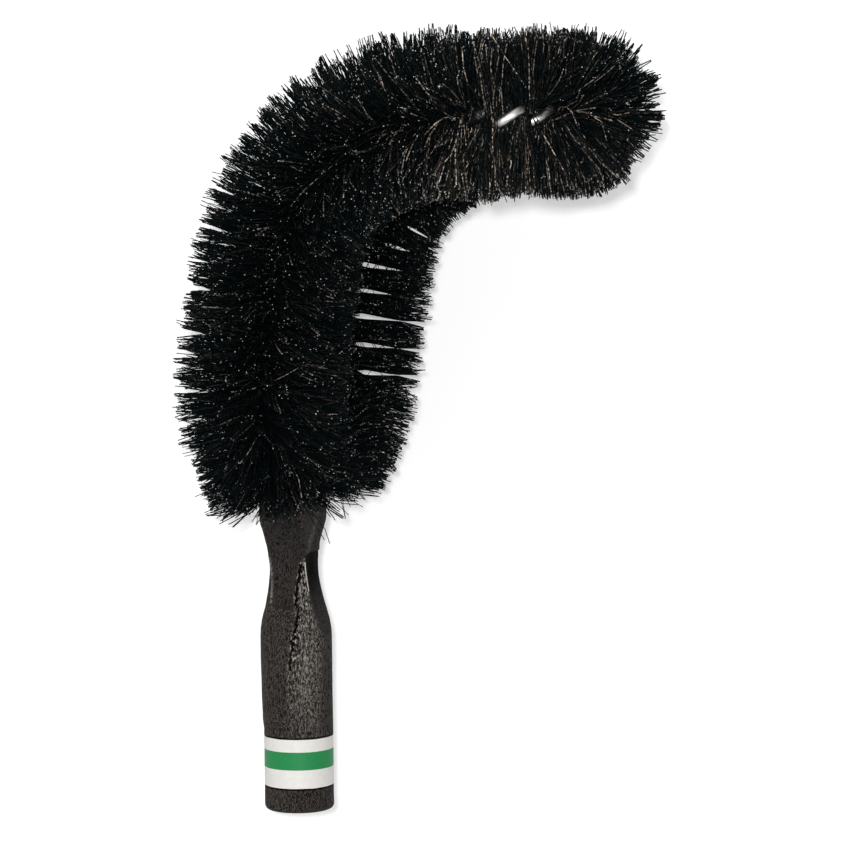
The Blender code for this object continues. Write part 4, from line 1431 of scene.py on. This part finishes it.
# %% Camera
SHOT_ROLL = math.radians(0.562)
SHOT_FOCAL_PIXELS = 3625.2
IMAGE_WIDTH = 850
SENSOR_WIDTH = 36.0
FACING_SHOT = Matrix((RIGHT, UP, BACK)).transposed()

camera = bpy.data.objects.new("camera", bpy.data.cameras.new("camera"))
camera.data.sensor_width = SENSOR_WIDTH
camera.data.lens = SHOT_FOCAL_PIXELS / IMAGE_WIDTH * SENSOR_WIDTH
rolled = FACING_SHOT @ Matrix.Rotation(-SHOT_ROLL, 3, "Z")
camera.matrix_world = Matrix.Translation(EYE) @ rolled.to_4x4()
bpy.context.scene.collection.objects.link(camera)
bpy.context.scene.camera = camera
print("lens:", round(camera.data.lens, 1), "mm")

# %% [markdown]
# ## The surface that it lies on
#
# The brush was shot from above, lying on a white surface, so the floor here faces the camera and lies
# just behind the brush. It is white to the camera and keeps the soft shadow. Seen from its other side
# it is clear, so that the brush can be looked at from all round.

# %% Floor
FLOOR_BEHIND = 0.088
FLOOR_SIZE = 3.0
FLOOR_WHITE = (0.80, 0.80, 0.80, 1)
FLOOR_GLOW = 0.32


def floor_finish():
    """White that glows a little for rays that show it, and clear from behind."""
    white = Finish("white_floor")
    glow = white.math("MULTIPLY", white.seen(), FLOOR_GLOW)
    behind = white.node("NewGeometry").outputs["Backfacing"]
    clear = white.node("BsdfTransparent").outputs["BSDF"]
    mixed = white.node("MixShader", {0: behind, 1: white.shader.outputs["BSDF"], 2: clear})
    white.set(white.nodes["Material Output"], {"Surface": mixed.outputs["Shader"]})
    white.set(white.shader, {"Emission Color": (1, 1, 1, 1), "Emission Strength": glow})
    return white.done({"Base Color": FLOOR_WHITE, "Roughness": 0.9, "Specular IOR Level": 0.0})


bpy.ops.mesh.primitive_plane_add(size=FLOOR_SIZE)
floor = bpy.context.object
floor.name = "floor"
floor.matrix_world = Matrix.Translation(TARGET - FLOOR_BEHIND * BACK) @ FACING_SHOT.to_4x4()
floor.data.materials.append(floor_finish())
print("floor behind the brush by", FLOOR_BEHIND)

# %% [markdown]
# ## Light
#
# A large soft lamp stands high on the left, a second one lower on the right, and a small one beside the
# camera throws the short shadow to the lower right. The room adds a dim white light from all round, and
# is plain white where it is seen.


# %% Lamps and room
def lamp(name, right, up, back, size, power):
    """A square lamp placed by the photograph's own directions and turned to the brush."""
    made = bpy.data.objects.new(name, bpy.data.lights.new(name, "AREA"))
    made.data.size = size
    made.data.energy = power
    made.location = TARGET + right * RIGHT + up * UP + back * BACK
    made.rotation_euler = (TARGET - made.location).to_track_quat("-Z", "Y").to_euler()
    bpy.context.scene.collection.objects.link(made)


ROOM_LEVEL = 0.30

lamp("key_lamp", -2.0, 1.6, 3.2, 2.0, 48)
lamp("right_lamp", 0.9, -0.9, 3.6, 0.5, 17)
lamp("front_lamp", -0.042, 0.050, 1.7, 0.055, 17)

world = bpy.data.worlds.new("room")
bpy.context.scene.world = world
world.use_nodes = True
room = Net(world.node_tree)
level = room.spread(room.seen(), 0, 1, ROOM_LEVEL, 1)
room.set(room.nodes["Background"], {"Color": (1, 1, 1, 1), "Strength": level})
bpy.context.scene.view_settings.view_transform = "Standard"
